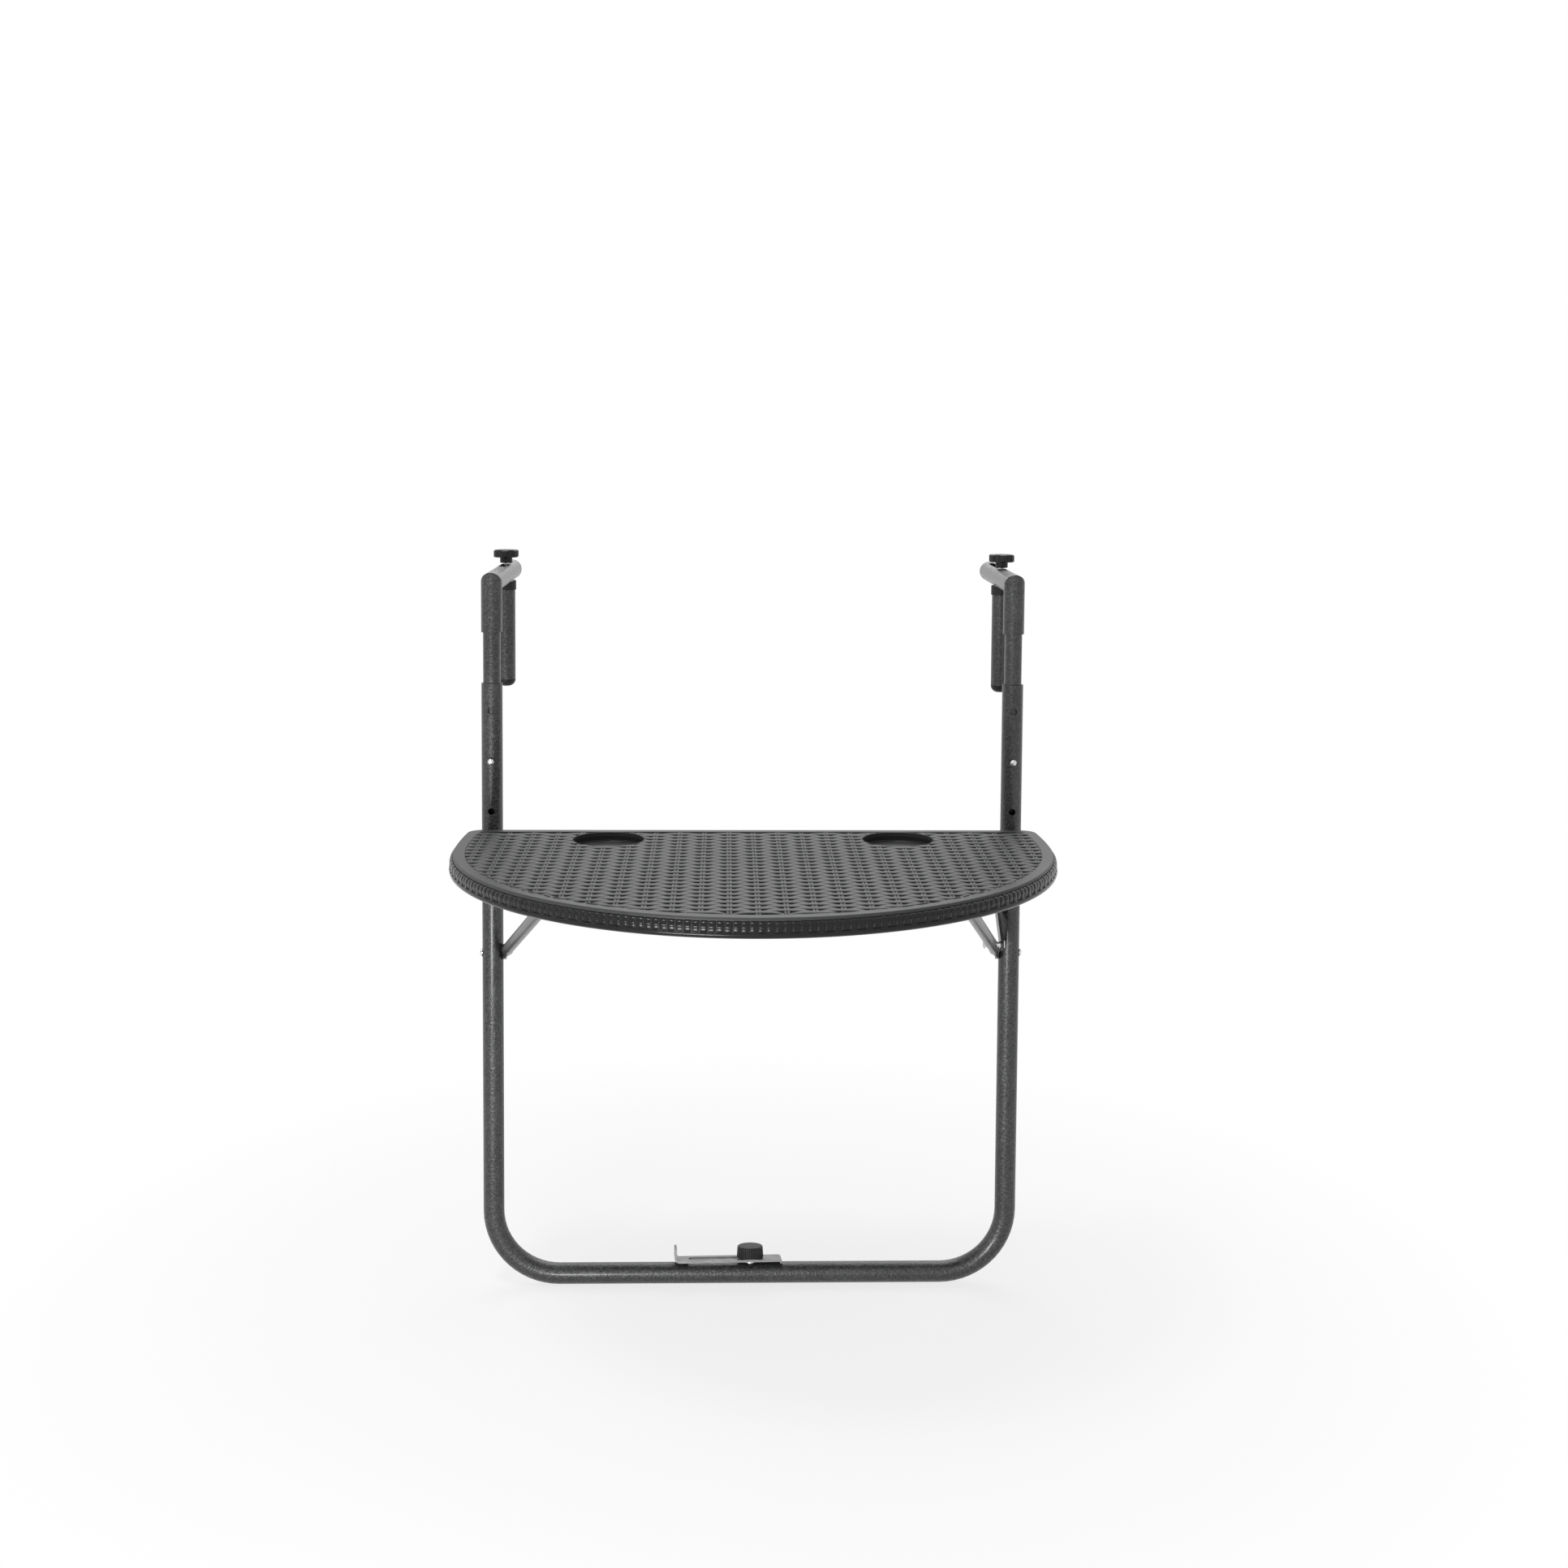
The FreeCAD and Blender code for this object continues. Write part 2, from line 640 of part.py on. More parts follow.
def make_button_spring(side, sign):
    """Leaf bent to a narrow U inside the inner tube."""
    body = new_body("button_spring_" + side)
    flat = sketch(body, "YZ_Plane")
    wall = "(%s - 1.6)" % INNER_BORE_R
    front = "(%s - 1.2 - button_flange - 0.1)" % INNER_BORE_R
    outline(flat, [
        ("-" + front, "7"),
        ("-" + front, "-spring_length", "spring_leaf + 3"),
        (wall, "-spring_length", "spring_leaf + 3"),
        (wall, "7"),
        (wall + " - spring_leaf", "7"),
        (wall + " - spring_leaf", "spring_leaf - spring_length", "3"),
        ("-" + front + " + spring_leaf", "spring_leaf - spring_length", "3"),
        ("-" + front + " + spring_leaf", "7"),
    ])
    pad(body, flat, "spring_width", both=True)
    place(body, x=sign + LEG_X, z="-button_drop")
    finish(body, "button_spring_" + side)


def domed_cap(name, radius, bore, dome, role, flat_role):
    """Cap with a dome, a flat rim and a hollow plug, turned about an axis."""
    body = new_body(name)
    half = sketch(body, flat_role)
    plug = "(%s - plug_clearance)" % bore
    corners = [
        ("0", dome),
        (radius, dome, radius + " * 0.75"),
        (radius, "0"),
        (plug, "0"),
        (plug, "-plug_length", "1"),
        (plug + " - 1.6", "-plug_length"),
        (plug + " - 1.6", "0"),
        ("0", "0"),
    ]
    if role == "Y_Axis":
        corners = [(corner[1], corner[0]) + corner[2:] for corner in corners]
    outline(half, corners)
    revolve(body, half, role)
    return body


def make_arm_cap(side, sign):
    body = domed_cap("arm_cap_" + side, TUBE_R, BORE_R, "arm_cap_dome", "Y_Axis", "YZ_Plane")
    place(body, x=sign + LEG_X, y="arm_length", z=TUBE_R)
    finish(body, "arm_cap_" + side)


# Clamp.

def make_clamp_post(side, sign, reach):
    body = new_body("clamp_post_" + side)
    ring = sketch(body, "XY_Plane", "-post_end_drop")
    circle(ring, "0", "0", "post_diameter / 2")
    circle(ring, "0", "0", POST_BORE_R)
    pad(body, ring, "post_end_drop - post_top_drop")
    place(body, x=sign + LEG_X, y=reach)
    finish(body, "clamp_post_" + side)


def make_clamp_saddle(side, sign, reach):
    """Round pad with an arch for the arm, ears at its sides and a spigot below."""
    body = new_body("clamp_saddle_" + side)
    disc = sketch(body, "XY_Plane", "-post_top_drop")
    circle(disc, "0", "0", TUBE_R)
    pad(body, disc, "post_top_drop + saddle_lap")
    stem = sketch(body, "XY_Plane", "-post_top_drop")
    circle(stem, "0", "0", POST_BORE_R + " - plug_clearance")
    pad(body, stem, "spigot_length", reverse=True)
    arch = sketch(body, "XZ_Plane")
    circle(arch, "0", TUBE_R, TUBE_R + " + saddle_clearance")
    pocket(body, arch)
    bore = sketch(body, "XY_Plane")
    circle(bore, "0", "0", "clamp_bolt / 2 + bolt_clearance")
    pocket(body, bore)
    place(body, x=sign + LEG_X, y=reach)
    finish(body, "clamp_saddle_" + side)


def make_post_insert(side, sign, reach):
    body = new_body("post_insert_" + side)
    ring = sketch(body, "XY_Plane", "-post_top_drop - spigot_length")
    circle(ring, "0", "0", POST_BORE_R + " - press_clearance")
    circle(ring, "0", "0", "clamp_bolt / 2 + thread_fit")
    pad(body, ring, "insert_length", reverse=True)
    place(body, x=sign + LEG_X, y=reach)
    finish(body, "post_insert_" + side)


def make_post_cap(side, sign, reach):
    body = domed_cap("post_cap_" + side, "(post_diameter / 2)", POST_BORE_R,
                     "post_cap_dome", "Z_Axis", "XZ_Plane")
    place(body, x=sign + LEG_X, y=reach, z="-post_end_drop")
    body.Placement.Rotation = FreeCAD.Rotation(V(1, 0, 0), 180)
    finish(body, "post_cap_" + side)


def make_clamp_knob(side, sign, reach):
    """Neck and lobed head; the bolt's end is moulded in."""
    body = new_body("clamp_knob_" + side)
    half = sketch(body, "XZ_Plane")
    foot = "(tube_diameter + knob_clearance)"
    shoulder = "(%s + neck_height)" % foot
    crown = "(%s + knob_height)" % shoulder
    outline(half, [
        ("clamp_bolt / 2", foot),
        ("knob_neck / 2", foot, "0.8"),
        ("knob_neck / 2", shoulder, "1"),
        ("knob_diameter / 2", shoulder, "1.5"),
        ("knob_diameter / 2", crown, "2"),
        ("0", crown + " + 0.8"),
        ("0", crown + " - 3"),
        ("clamp_bolt / 2", crown + " - 3"),
    ])
    revolve(body, half, "Z_Axis")
    valley = sketch(body, "XY_Plane", shoulder + " - 1.5")
    circle(valley, "knob_diameter / 2 - valley_depth + lobe_valley", "0", "lobe_valley")
    cut = pocket(body, valley, "knob_height + 4", reverse=True)
    polar(body, cut, "Z_Axis", "knob_lobes")
    place(body, x=sign + LEG_X, y=reach)
    finish(body, "clamp_knob_" + side)


def make_clamp_bolt(side, sign, reach):
    body = new_body("clamp_bolt_" + side)
    disc = sketch(body, "XY_Plane", "-bolt_end_drop")
    circle(disc, "0", "0", "clamp_bolt / 2")
    rod = pad(body, disc, "bolt_end_drop + tube_diameter + knob_clearance + neck_height"
              " + knob_height - 3")
    soften(body, rod, lambda edge: level(edge, -size("bolt_end_drop")), "1", "Chamfer")
    place(body, x=sign + LEG_X, y=reach)
    finish(body, "clamp_bolt_" + side)


# Top.

def top_outline(flat, inset):
    """Half-round front, slightly curved sides and a straight rear edge, drawn inset."""
    front_y = "(-front_centre)"
    front_r = "(%s - %s)" % (FRONT_R, inset)
    side_r = "(side_radius - %s)" % inset
    corner_r = "(rear_corner - %s * 0.6)" % inset
    rear_y = "(-rear_edge - %s)" % inset
    fy, fr, sr, cr, ry = [size(t) for t in (front_y, front_r, side_r, corner_r, rear_y)]
    up = V(0, 0, 1)
    front = flat.addGeometry(
        Part.ArcOfCircle(Part.Circle(V(0, fy, 0), up, fr), math.pi, 2 * math.pi))
    centre_x = fr - sr
    corner_x = centre_x + math.sqrt((sr - cr) ** 2 - (ry - cr - fy) ** 2)
    tip = math.atan2(ry - cr - fy, corner_x - centre_x)
    right = flat.addGeometry(
        Part.ArcOfCircle(Part.Circle(V(centre_x, fy, 0), up, sr), 0, tip))
    right_corner = flat.addGeometry(
        Part.ArcOfCircle(Part.Circle(V(corner_x, ry - cr, 0), up, cr), tip, math.pi / 2))
    rear = flat.addGeometry(Part.LineSegment(V(corner_x, ry, 0), V(-corner_x, ry, 0)))
    left_corner = flat.addGeometry(
        Part.ArcOfCircle(Part.Circle(V(-corner_x, ry - cr, 0), up, cr),
                         math.pi / 2, math.pi - tip))
    left = flat.addGeometry(
        Part.ArcOfCircle(Part.Circle(V(-centre_x, fy, 0), up, sr), math.pi - tip, math.pi))
    pin(flat, front, 3, "0", front_y)
    dimension(flat, "Radius", (front,), front_r)
    dimension(flat, "DistanceY", (front, 1), front_y)
    dimension(flat, "DistanceY", (front, 2), front_y)
    chain = [front, right, right_corner, rear, left_corner, left]
    for first, second in zip(chain, chain[1:] + chain[:1]):
        flat.addConstraint(Sketcher.Constraint("Tangent", first, 2, second, 1))
    dimension(flat, "Radius", (right,), side_r)
    dimension(flat, "Radius", (left,), side_r)
    dimension(flat, "Radius", (right_corner,), corner_r)
    dimension(flat, "Radius", (left_corner,), corner_r)
    dimension(flat, "DistanceY", (rear, 1), rear_y)


def rib(flat, x0, y0, x1, y1):
    """Rectangle between two corners."""
    outline(flat, [(x0, y0), (x1, y0), (x1, y1), (x0, y1)])


def make_table_top():
    body = new_body("table_top")
    slab = sketch(body, "XY_Plane", "-" + TOP_UNDER)
    top_outline(slab, "0")
    plate = pad(body, slab, "top_thickness - rim_step")
    rim = soften(body, plate, lambda e: level(e, -size("top_drop + rim_step")), "rim_round")
    soften(body, rim, lambda e: level(e, -size(TOP_UNDER)), "rim_under_round")
    raised = sketch(body, "XY_Plane", "-top_drop - rim_step")
    top_outline(raised, "deck_inset")
    deck = pad(body, raised, "rim_step")
    soften(body, deck, lambda e: level(e, -size("top_drop")), "deck_round")
    hollow = sketch(body, "XY_Plane", "-" + TOP_UNDER)
    top_outline(hollow, "rim_wall")
    pocket(body, hollow, "top_thickness - deck_thickness", reverse=True)
    make_top_ribs(body)
    make_top_cups(body)
    make_top_notches(body)
    field = sketch(body, "XY_Plane", "-top_drop")
    top_outline(field, "border_width")
    pocket(body, field, "field_depth")
    finish(body, "table_top")


def make_top_ribs(body):
    """Long and cross ribs that stay clear of the rail, with bosses for the screws."""
    half = "rib_thickness / 2"
    behind = "(-rail_reach + bar_diameter / 2 + 3)"
    ahead = "(-rail_reach - bar_diameter / 2 - 3)"
    rear = "(-rear_edge - rim_wall + 1)"
    long_ribs = sketch(body, "XY_Plane", "-" + DECK_UNDER)
    for share in (-0.24, 0, 0.24):
        x = "top_width * %s" % share
        front = "-front_centre - %s * %s" % (FRONT_R, round(math.sqrt(1 - 4 * share ** 2), 4))
        rib(long_ribs, "%s - %s" % (x, half), ahead, "%s + %s" % (x, half),
            front + " + rim_wall - 1")
    rib(long_ribs, "-" + half, rear, half, behind)
    pad(body, long_ribs, "rib_height", reverse=True)
    cross_ribs = sketch(body, "XY_Plane", "-" + DECK_UNDER)
    for depth in (0.37, 0.72):
        y = "-front_centre - %s * %s" % (FRONT_R, depth)
        x = "(%s * %s - rim_wall + 1)" % (FRONT_R, round(math.sqrt(1 - depth ** 2), 4))
        rib(cross_ribs, "-" + x, "%s - %s" % (y, half), x, "%s + %s" % (y, half))
    pad(body, cross_ribs, "rib_height", reverse=True)
    bosses = sketch(body, "XY_Plane", "-" + DECK_UNDER)
    for sign in ("-", ""):
        for y in SADDLE_SCREWS:
            circle(bosses, sign + "saddle_side", y, "boss_diameter / 2")
    pad(body, bosses, "top_thickness - deck_thickness", reverse=True)
    seats = sketch(body, "XY_Plane", "-" + DECK_UNDER)
    for x, y in RAIL_SCREWS:
        circle(seats, x, y, "boss_diameter / 2")
    pad(body, seats, "rail_drop - %s - %s" % (BAR_R, DECK_UNDER), reverse=True)
    pilots = sketch(body, "XY_Plane", "-" + TOP_UNDER)
    for sign in ("-", ""):
        for y in SADDLE_SCREWS:
            circle(pilots, sign + "saddle_side", y, SCREW_HOLE)
    for x, y in RAIL_SCREWS:
        circle(pilots, x, y, SCREW_HOLE)
    pocket(body, pilots, "top_thickness - screw_cover", reverse=True)


def make_top_cups(body):
    """Two round recesses with their own walls under the deck."""
    walls = sketch(body, "XY_Plane", "-" + DECK_UNDER)
    for sign in ("-", ""):
        circle(walls, sign + "cup_side", "-cup_front", "cup_diameter / 2 + cup_wall")
    pad(body, walls, "cup_depth + cup_wall - deck_thickness", reverse=True)
    for radius, depth in (("cup_diameter / 2", "cup_depth - cup_step_height"),
                          ("cup_diameter / 2 - cup_step", "cup_depth")):
        cups = sketch(body, "XY_Plane", "-top_drop")
        for sign in ("-", ""):
            circle(cups, sign + "cup_side", "-cup_front", radius)
        cut = pocket(body, cups, depth)
    floor = -size("top_drop + cup_depth")
    soften(body, cut, lambda e: level(e, floor), "cup_floor_round")


def make_top_notches(body):
    """Room in the rear rim for the rail's two ends."""
    flat = sketch(body, "XY_Plane", "-" + TOP_UNDER)
    gap = "(%s + notch_clearance)" % BAR_R
    for sign in ("-", ""):
        mid = sign + BAR_X
        rib(flat, "%s - %s" % (mid, gap), "-rear_edge + 1", "%s + %s" % (mid, gap),
            "-rear_edge - rim_wall - 1")
    pocket(body, flat, "top_thickness - deck_thickness", reverse=True)


def along_x(radius, length, centre):
    """Cylinder along X, evenly about its centre."""
    return Part.makeCylinder(radius, length, centre - V(length / 2, 0, 0), V(1, 0, 0))


def flat_end(pivot, ahead, side, behind, plate, lug_x, bar_x):
    """Flattened end of a tube round its pivot, and the taper to the round tube."""
    width = size("lug_width") / 2
    thick = size("lug_thickness")
    across = V(0, -ahead.z, ahead.y)
    centre = V(side * lug_x, pivot.y, pivot.z)
    step = V(side * thick / 2, 0, 0)
    back = centre - ahead * (behind - width) - step
    front = centre + ahead * plate - step
    path = [Part.makeLine(back + across * width, front + across * width),
            Part.makeLine(front + across * width, front - across * width),
            Part.makeLine(front - across * width, back - across * width),
            Part.Arc(back - across * width, back - ahead * width,
                     back + across * width).toShape()]
    lug = Part.Face(Part.Wire(path)).extrude(step * 2)
    oval = Part.Ellipse(front + step + across * width, front + step + V(thick / 2, 0, 0),
                        front + step)
    start = V(side * bar_x, 0, 0) + V(0, front.y, front.z) + ahead * size("lug_taper")
    ring = Part.Circle(start, ahead, size(BAR_R))
    turned = Part.Wire([Part.ArcOfCircle(ring, 0, 2 * math.pi).toShape()])
    taper = Part.makeLoft([Part.Wire([oval.toShape()]), turned], True)
    return lug.fuse(taper), start


def bent_wire(points, radii):
    """Straight runs joined by tangent arcs."""
    edges = []
    start = points[0]
    for before, corner, after, radius in zip(points, points[1:], points[2:], radii):
        arrive = (corner - before).normalize()
        leave = (after - corner).normalize()
        turn = arrive.getAngle(leave)
        cut = radius * math.tan(turn / 2)
        first = corner - arrive * cut
        last = corner + leave * cut
        inward = (leave - arrive).normalize()
        middle = corner + inward * (radius / math.cos(turn / 2) - radius)
        edges.append(Part.makeLine(start, first))
        edges.append(Part.Arc(first, middle, last).toShape())
        start = last
    edges.append(Part.makeLine(start, points[-1]))
    return Part.Wire(edges)


def bent_tube(points, radii, outer, inner):
    """Tube of even wall along straight runs and arcs."""
    spine = bent_wire(points, radii)
    ahead = points[1] - points[0]
    solids = []
    for radius in (outer, inner):
        ring = Part.Wire([Part.Circle(points[0], ahead, radius).toShape()])
        solids.append(spine.makePipeShell([ring], True, False))
    return solids[0].cut(solids[1])


def make_flattened_bar(label, pivot, ahead, behind, plate, corners, radii, holes):
    """Bent tube with a flattened end on each side, mirrored about X = 0."""
    lug_x = size(LUG_X)
    bar_x = size(BAR_X)
    right, start = flat_end(pivot, ahead, 1, behind, plate, lug_x, bar_x)
    left, far = flat_end(pivot, ahead, -1, behind, plate, lug_x, bar_x)
    mirrored = [V(-c.x, c.y, c.z) for c in reversed(corners)]
    points = [start] + corners + mirrored + [far]
    tube = bent_tube(points, radii + radii[::-1], size(BAR_R), size(BAR_R + " - bar_wall"))
    shape = tube.fuse([right, left]).removeSplitter()
    shape = shape.cut(along_x(size(PIVOT_R), 2 * lug_x + 20, V(0, pivot.y, pivot.z)))
    shape = shape.cut(holes)
    piece = doc.addObject("Part::Feature", label)
    piece.Shape = shape
    return finish(piece, label)


SADDLE_SCREWS = ("-%s - bar_diameter - 4" % CROSSBAR_Y, "-%s + bar_diameter + 4" % CROSSBAR_Y)
RAIL_SCREWS = [("rail_screw_side", "-rail_reach"), ("-rail_screw_side", "-rail_reach"),
               (BAR_X, "-rail_reach + rail_corner + 20"),
               ("-" + BAR_X, "-rail_reach + rail_corner + 20")]


def make_top_rail():
    """Bent tube under the top, whose flattened ends slope down to the pivots."""
    slope = math.radians(size("rail_rise"))
    pivot = V(0, 0, -size("upper_pivot_drop"))
    ahead = V(0, -math.cos(slope), math.sin(slope))
    knee_y = -size("upper_pivot_drop - rail_drop") / math.tan(slope)
    z = -size("rail_drop")
    x = size(BAR_X)
    corners = [V(x, knee_y, z), V(x, -size("rail_reach"), z)]
    holes = [Part.makeCylinder(size(SCREW_HOLE), 40, V(size(a), size(b), z - 20))
             for a, b in RAIL_SCREWS]
    make_flattened_bar("top_rail", pivot, ahead, size("rail_lug_behind"), size("lug_plate"),
                       corners, [size("rail_knee"), size("rail_corner")], holes)


def screw(name, x, y, head_z, tip_z):
    """Pan-head screw from below, turned about its own axis."""
    body = new_body(name)
    half = sketch(body, "XZ_Plane")
    low = "(-%s)" % head_z
    outline(half, [
        ("0", low + " - screw_head_rise"),
        ("screw_head / 2", low + " - screw_head_rise", "1.2"),
        ("screw_head / 2", low),
        ("screw_shank / 2", low),
        ("screw_shank / 2", "(-%s) - 1" % tip_z),
        ("0", "(-%s)" % tip_z),
    ])
    revolve(body, half, "Z_Axis")
    place(body, x=x, y=y)
    return body


def make_rail_screws():
    under = "(rail_drop + %s)" % BAR_R
    screws = [screw("rail_screw_%d" % n, x, y, under, "(top_drop + screw_cover + 0.2)")
              for n, (x, y) in enumerate(RAIL_SCREWS)]
    group("rail_screws", screws)


def make_brace_saddle(side, sign):
    """Clip under the top: deep jaw behind the crossbar, shallow lip before it."""
    body = new_body("brace_saddle_" + side)
    flat = sketch(body, "YZ_Plane")
    base = "(-%s - saddle_base)" % TOP_UNDER
    jaw = "(-crossbar_drop - 2.5)"
    lip = "(-crossbar_drop + saddle_lip)"
    mid = "(-%s)" % CROSSBAR_Y
    snug = "(%s + saddle_fit)" % BAR_R
    outline(flat, [
        (mid + " - bar_diameter - 9", "-" + TOP_UNDER),
        (mid + " - bar_diameter - 9", base, "1"),
        (mid + " - %s - 4.5" % snug, base),
        (mid + " - %s - 4.5" % snug, lip, "1"),
        (mid, lip),
        (mid, jaw),
        (mid + " + %s + 4" % snug, jaw, "1.5"),
        (mid + " + %s + 4" % snug, base),
        (mid + " + bar_diameter + 9", base, "1"),
        (mid + " + bar_diameter + 9", "-" + TOP_UNDER),
    ])
    pad(body, flat, "saddle_width", both=True)
    seat = sketch(body, "YZ_Plane")
    slot(seat, mid, "-crossbar_drop", mid, "-crossbar_drop - bar_diameter", snug)
    pocket(body, seat)
    holes = sketch(body, "XY_Plane")
    for y in SADDLE_SCREWS:
        circle(holes, "0", y, SCREW_HOLE)
    pocket(body, holes)
    place(body, x=sign + "saddle_side")
    finish(body, "brace_saddle_" + side)


def make_saddle_screws():
    under = "(%s + saddle_base)" % TOP_UNDER
    screws = [screw("saddle_screw_%d_%d" % (n, m), sign + "saddle_side", y, under,
                    "(top_drop + screw_cover + 0.2)")
              for n, sign in enumerate(("-", "")) for m, y in enumerate(SADDLE_SCREWS)]
    group("saddle_screws", screws)


# Brace.

def turn_brace(piece):
    """Tilts a piece drawn with the brace level up to the open table's pose."""
    piece.Placement = FreeCAD.Placement(V(0, 0, -size("lower_pivot_drop")),
                                        FreeCAD.Rotation(V(1, 0, 0), -size(BRACE_ANGLE)))
    piece.setExpression("Placement.Base.z", bound("-lower_pivot_drop"))
    piece.setExpression("Placement.Rotation.Angle", bound(BRACE_ANGLE))
    piece.Placement.Rotation.Axis = V(-1, 0, 0)


BRACE_BEND = "(brace_lug_plate + lug_taper + 3)"
BRACE_SLOPE = "((%s - brace_half) / (brace_length - %s))" % (BAR_X, BRACE_BEND)
HOOK_AHEAD = ("(hook_forward * %s + (lower_pivot_drop - hook_drop) * %s)"
              % (BRACE_RUN, BRACE_RISE))


def hook_pivot_local():
    """The lock hook's pivot in the level brace's frame."""
    tilt = math.radians(size(BRACE_ANGLE))
    y = -size("hook_forward")
    z = size("lower_pivot_drop - hook_drop")
    return (y * math.cos(tilt) - z * math.sin(tilt), y * math.sin(tilt) + z * math.cos(tilt))


def make_brace_tube():
    """Drawn level about its pivot, then tilted; its arms close in to the crossbar."""
    pivot = V(0, 0, 0)
    ahead = V(0, -1, 0)
    corners = [V(size(BAR_X), -size(BRACE_BEND), 0),
               V(size("brace_half"), -size("brace_length"), 0)]
    hole_y, hole_z = hook_pivot_local()
    reach = size("%s - %s * (%.6f - %s)" % (BAR_X, BRACE_SLOPE, -hole_y, BRACE_BEND))
    holes = [Part.makeCylinder(size("rivet_shank / 2"), 30, V(reach - 15, hole_y, hole_z),
                               V(1, 0, 0))]
    piece = make_flattened_bar("brace_tube", pivot, ahead, size("lug_width / 2"),
                               size("brace_lug_plate"), corners,
                               [12, size("brace_corner")], holes)
    turn_brace(piece)


def make_hook_pivot():
    """Rivet through the brace's right arm, with a spacer up to the hook."""
    body = new_body("hook_pivot")
    half = sketch(body, "XZ_Plane")
    arm = "(%s - %s * (%s - %s))" % (BAR_X, BRACE_SLOPE, HOOK_AHEAD, BRACE_BEND)
    proud = "(%s + rivet_head / 2 * %s + 0.2)" % (BAR_R, BRACE_SLOPE)
    inner = "(%s - %s)" % (arm, proud)
    spacer = "(%s + %s)" % (arm, proud)
    outer = "(%s + 0.1)" % HOOK_X
    face = "(%s - hook_plate - 0.1)" % HOOK_X
    outline(half, [
        (inner + " - rivet_rise", "0"),
        (inner + " - rivet_rise", "rivet_head * 0.3"),
        (inner + " - rivet_rise * 0.4", "rivet_head / 2"),
        (inner, "rivet_head / 2"),
        (inner, "rivet_shank / 2"),
        (spacer, "rivet_shank / 2"),
        (spacer, "rivet_head / 2"),
        (face, "rivet_head / 2"),
        (face, "rivet_shank / 2"),
        (outer, "rivet_shank / 2"),
        (outer, "rivet_head / 2"),
        (outer + " + rivet_rise * 0.6", "rivet_head / 2 - 0.8"),
        (outer + " + rivet_rise * 0.6", "0"),
    ])
    revolve(body, half, "X_Axis")
    place(body, y="-hook_forward", z="-hook_drop")
    finish(body, "hook_pivot")


def make_lock_hook():
    """Flat hook from its pivot on the brace up to the stud on the right leg."""
    body = new_body("lock_hook")
    flat = sketch(body, "YZ_Plane")
    slot(flat, "-hook_forward", "-hook_drop", "0", "-stud_drop", "hook_waist / 2")
    pad(body, flat, "hook_plate")
    lobe = sketch(body, "YZ_Plane")
    circle(lobe, "0", "-stud_drop", "hook_lobe")
    pad(body, lobe, "hook_plate")
    throat = sketch(body, "YZ_Plane")
    far = "(hook_lobe + 8)"
    slot(throat, "0", "-stud_drop", far + " * cos(throat_slope * 1deg)",
         "-stud_drop - %s * sin(throat_slope * 1deg)" % far, "throat_width / 2")
    pocket(body, throat)
    hole = sketch(body, "YZ_Plane")
    circle(hole, "-hook_forward", "-hook_drop", PIVOT_R)
    pocket(body, hole)
    place(body, x=HOOK_X + " - hook_plate")
    finish(body, "lock_hook")


# Standoff on the bottom tube. Its pieces are drawn upright over the tube and then
# turned with their screw round the tube's axis.

def leaned_back():
    """The turn round the bottom tube that brings the upright towards +Y."""
    return FreeCAD.Rotation(V(-1, 0, 0), size("foot_lean"))


def lean(body, turn="0"):
    """Turns a piece round its screw, then leans it back with the screw."""
    body.Placement = FreeCAD.Placement(
        V(0, 0, 0), leaned_back() * FreeCAD.Rotation(V(0, 0, 1), size(turn)))
    place(body, y="bottom_drop * sin(foot_lean * 1deg)",
          z="-bottom_drop * (1 - cos(foot_lean * 1deg))")


def make_standoff_plate():
    """Slotted strip with an upright flange and a short lip, turned on the tube."""
    body = new_body("standoff_plate")
    side = sketch(body, "XZ_Plane")
    under = "(-%s)" % PLATE_UNDER
    over = "(-%s)" % PLATE_TOP
    flange = "(%s + flange_height)" % over
    outline(side, [
        ("-plate_reach", flange),
        ("-plate_reach", under, "plate_bend + plate_thickness"),
        ("plate_tail - plate_thickness", under, "1"),
        ("plate_tail - plate_thickness", under + " - tail_lip"),
        ("plate_tail", under + " - tail_lip"),
        ("plate_tail", over, "1 + plate_thickness"),
        ("-plate_reach + plate_thickness", over, "plate_bend"),
        ("-plate_reach + plate_thickness", flange),
    ])
    pad(body, side, "plate_width", both=True)
    through = sketch(body, "XY_Plane")
    half = "plate_slot_width / 2"
    slot(through, "-plate_slot_far + " + half, "0", "plate_slot_near - " + half, "0", half)
    pocket(body, through)
    lean(body, "plate_turn")
    finish(body, "standoff_plate")


def make_standoff_washer():
    body = new_body("standoff_washer")
    half = sketch(body, "XZ_Plane")
    under = "(-bottom_drop + %s)" % TUBE_R
    over = "(-%s)" % PLATE_UNDER
    bore = "(foot_screw / 2 + 0.2)"
    collar = "(plate_slot_width / 2 - collar_fit)"
    outline(half, [
        (bore, under),
        ("washer_diameter / 2", under),
        ("washer_diameter / 2", over),
        (collar, over),
        (collar, over + " + collar_height"),
        (bore, over + " + collar_height"),
    ])
    revolve(body, half, "Z_Axis")
    lean(body)
    finish(body, "standoff_washer")


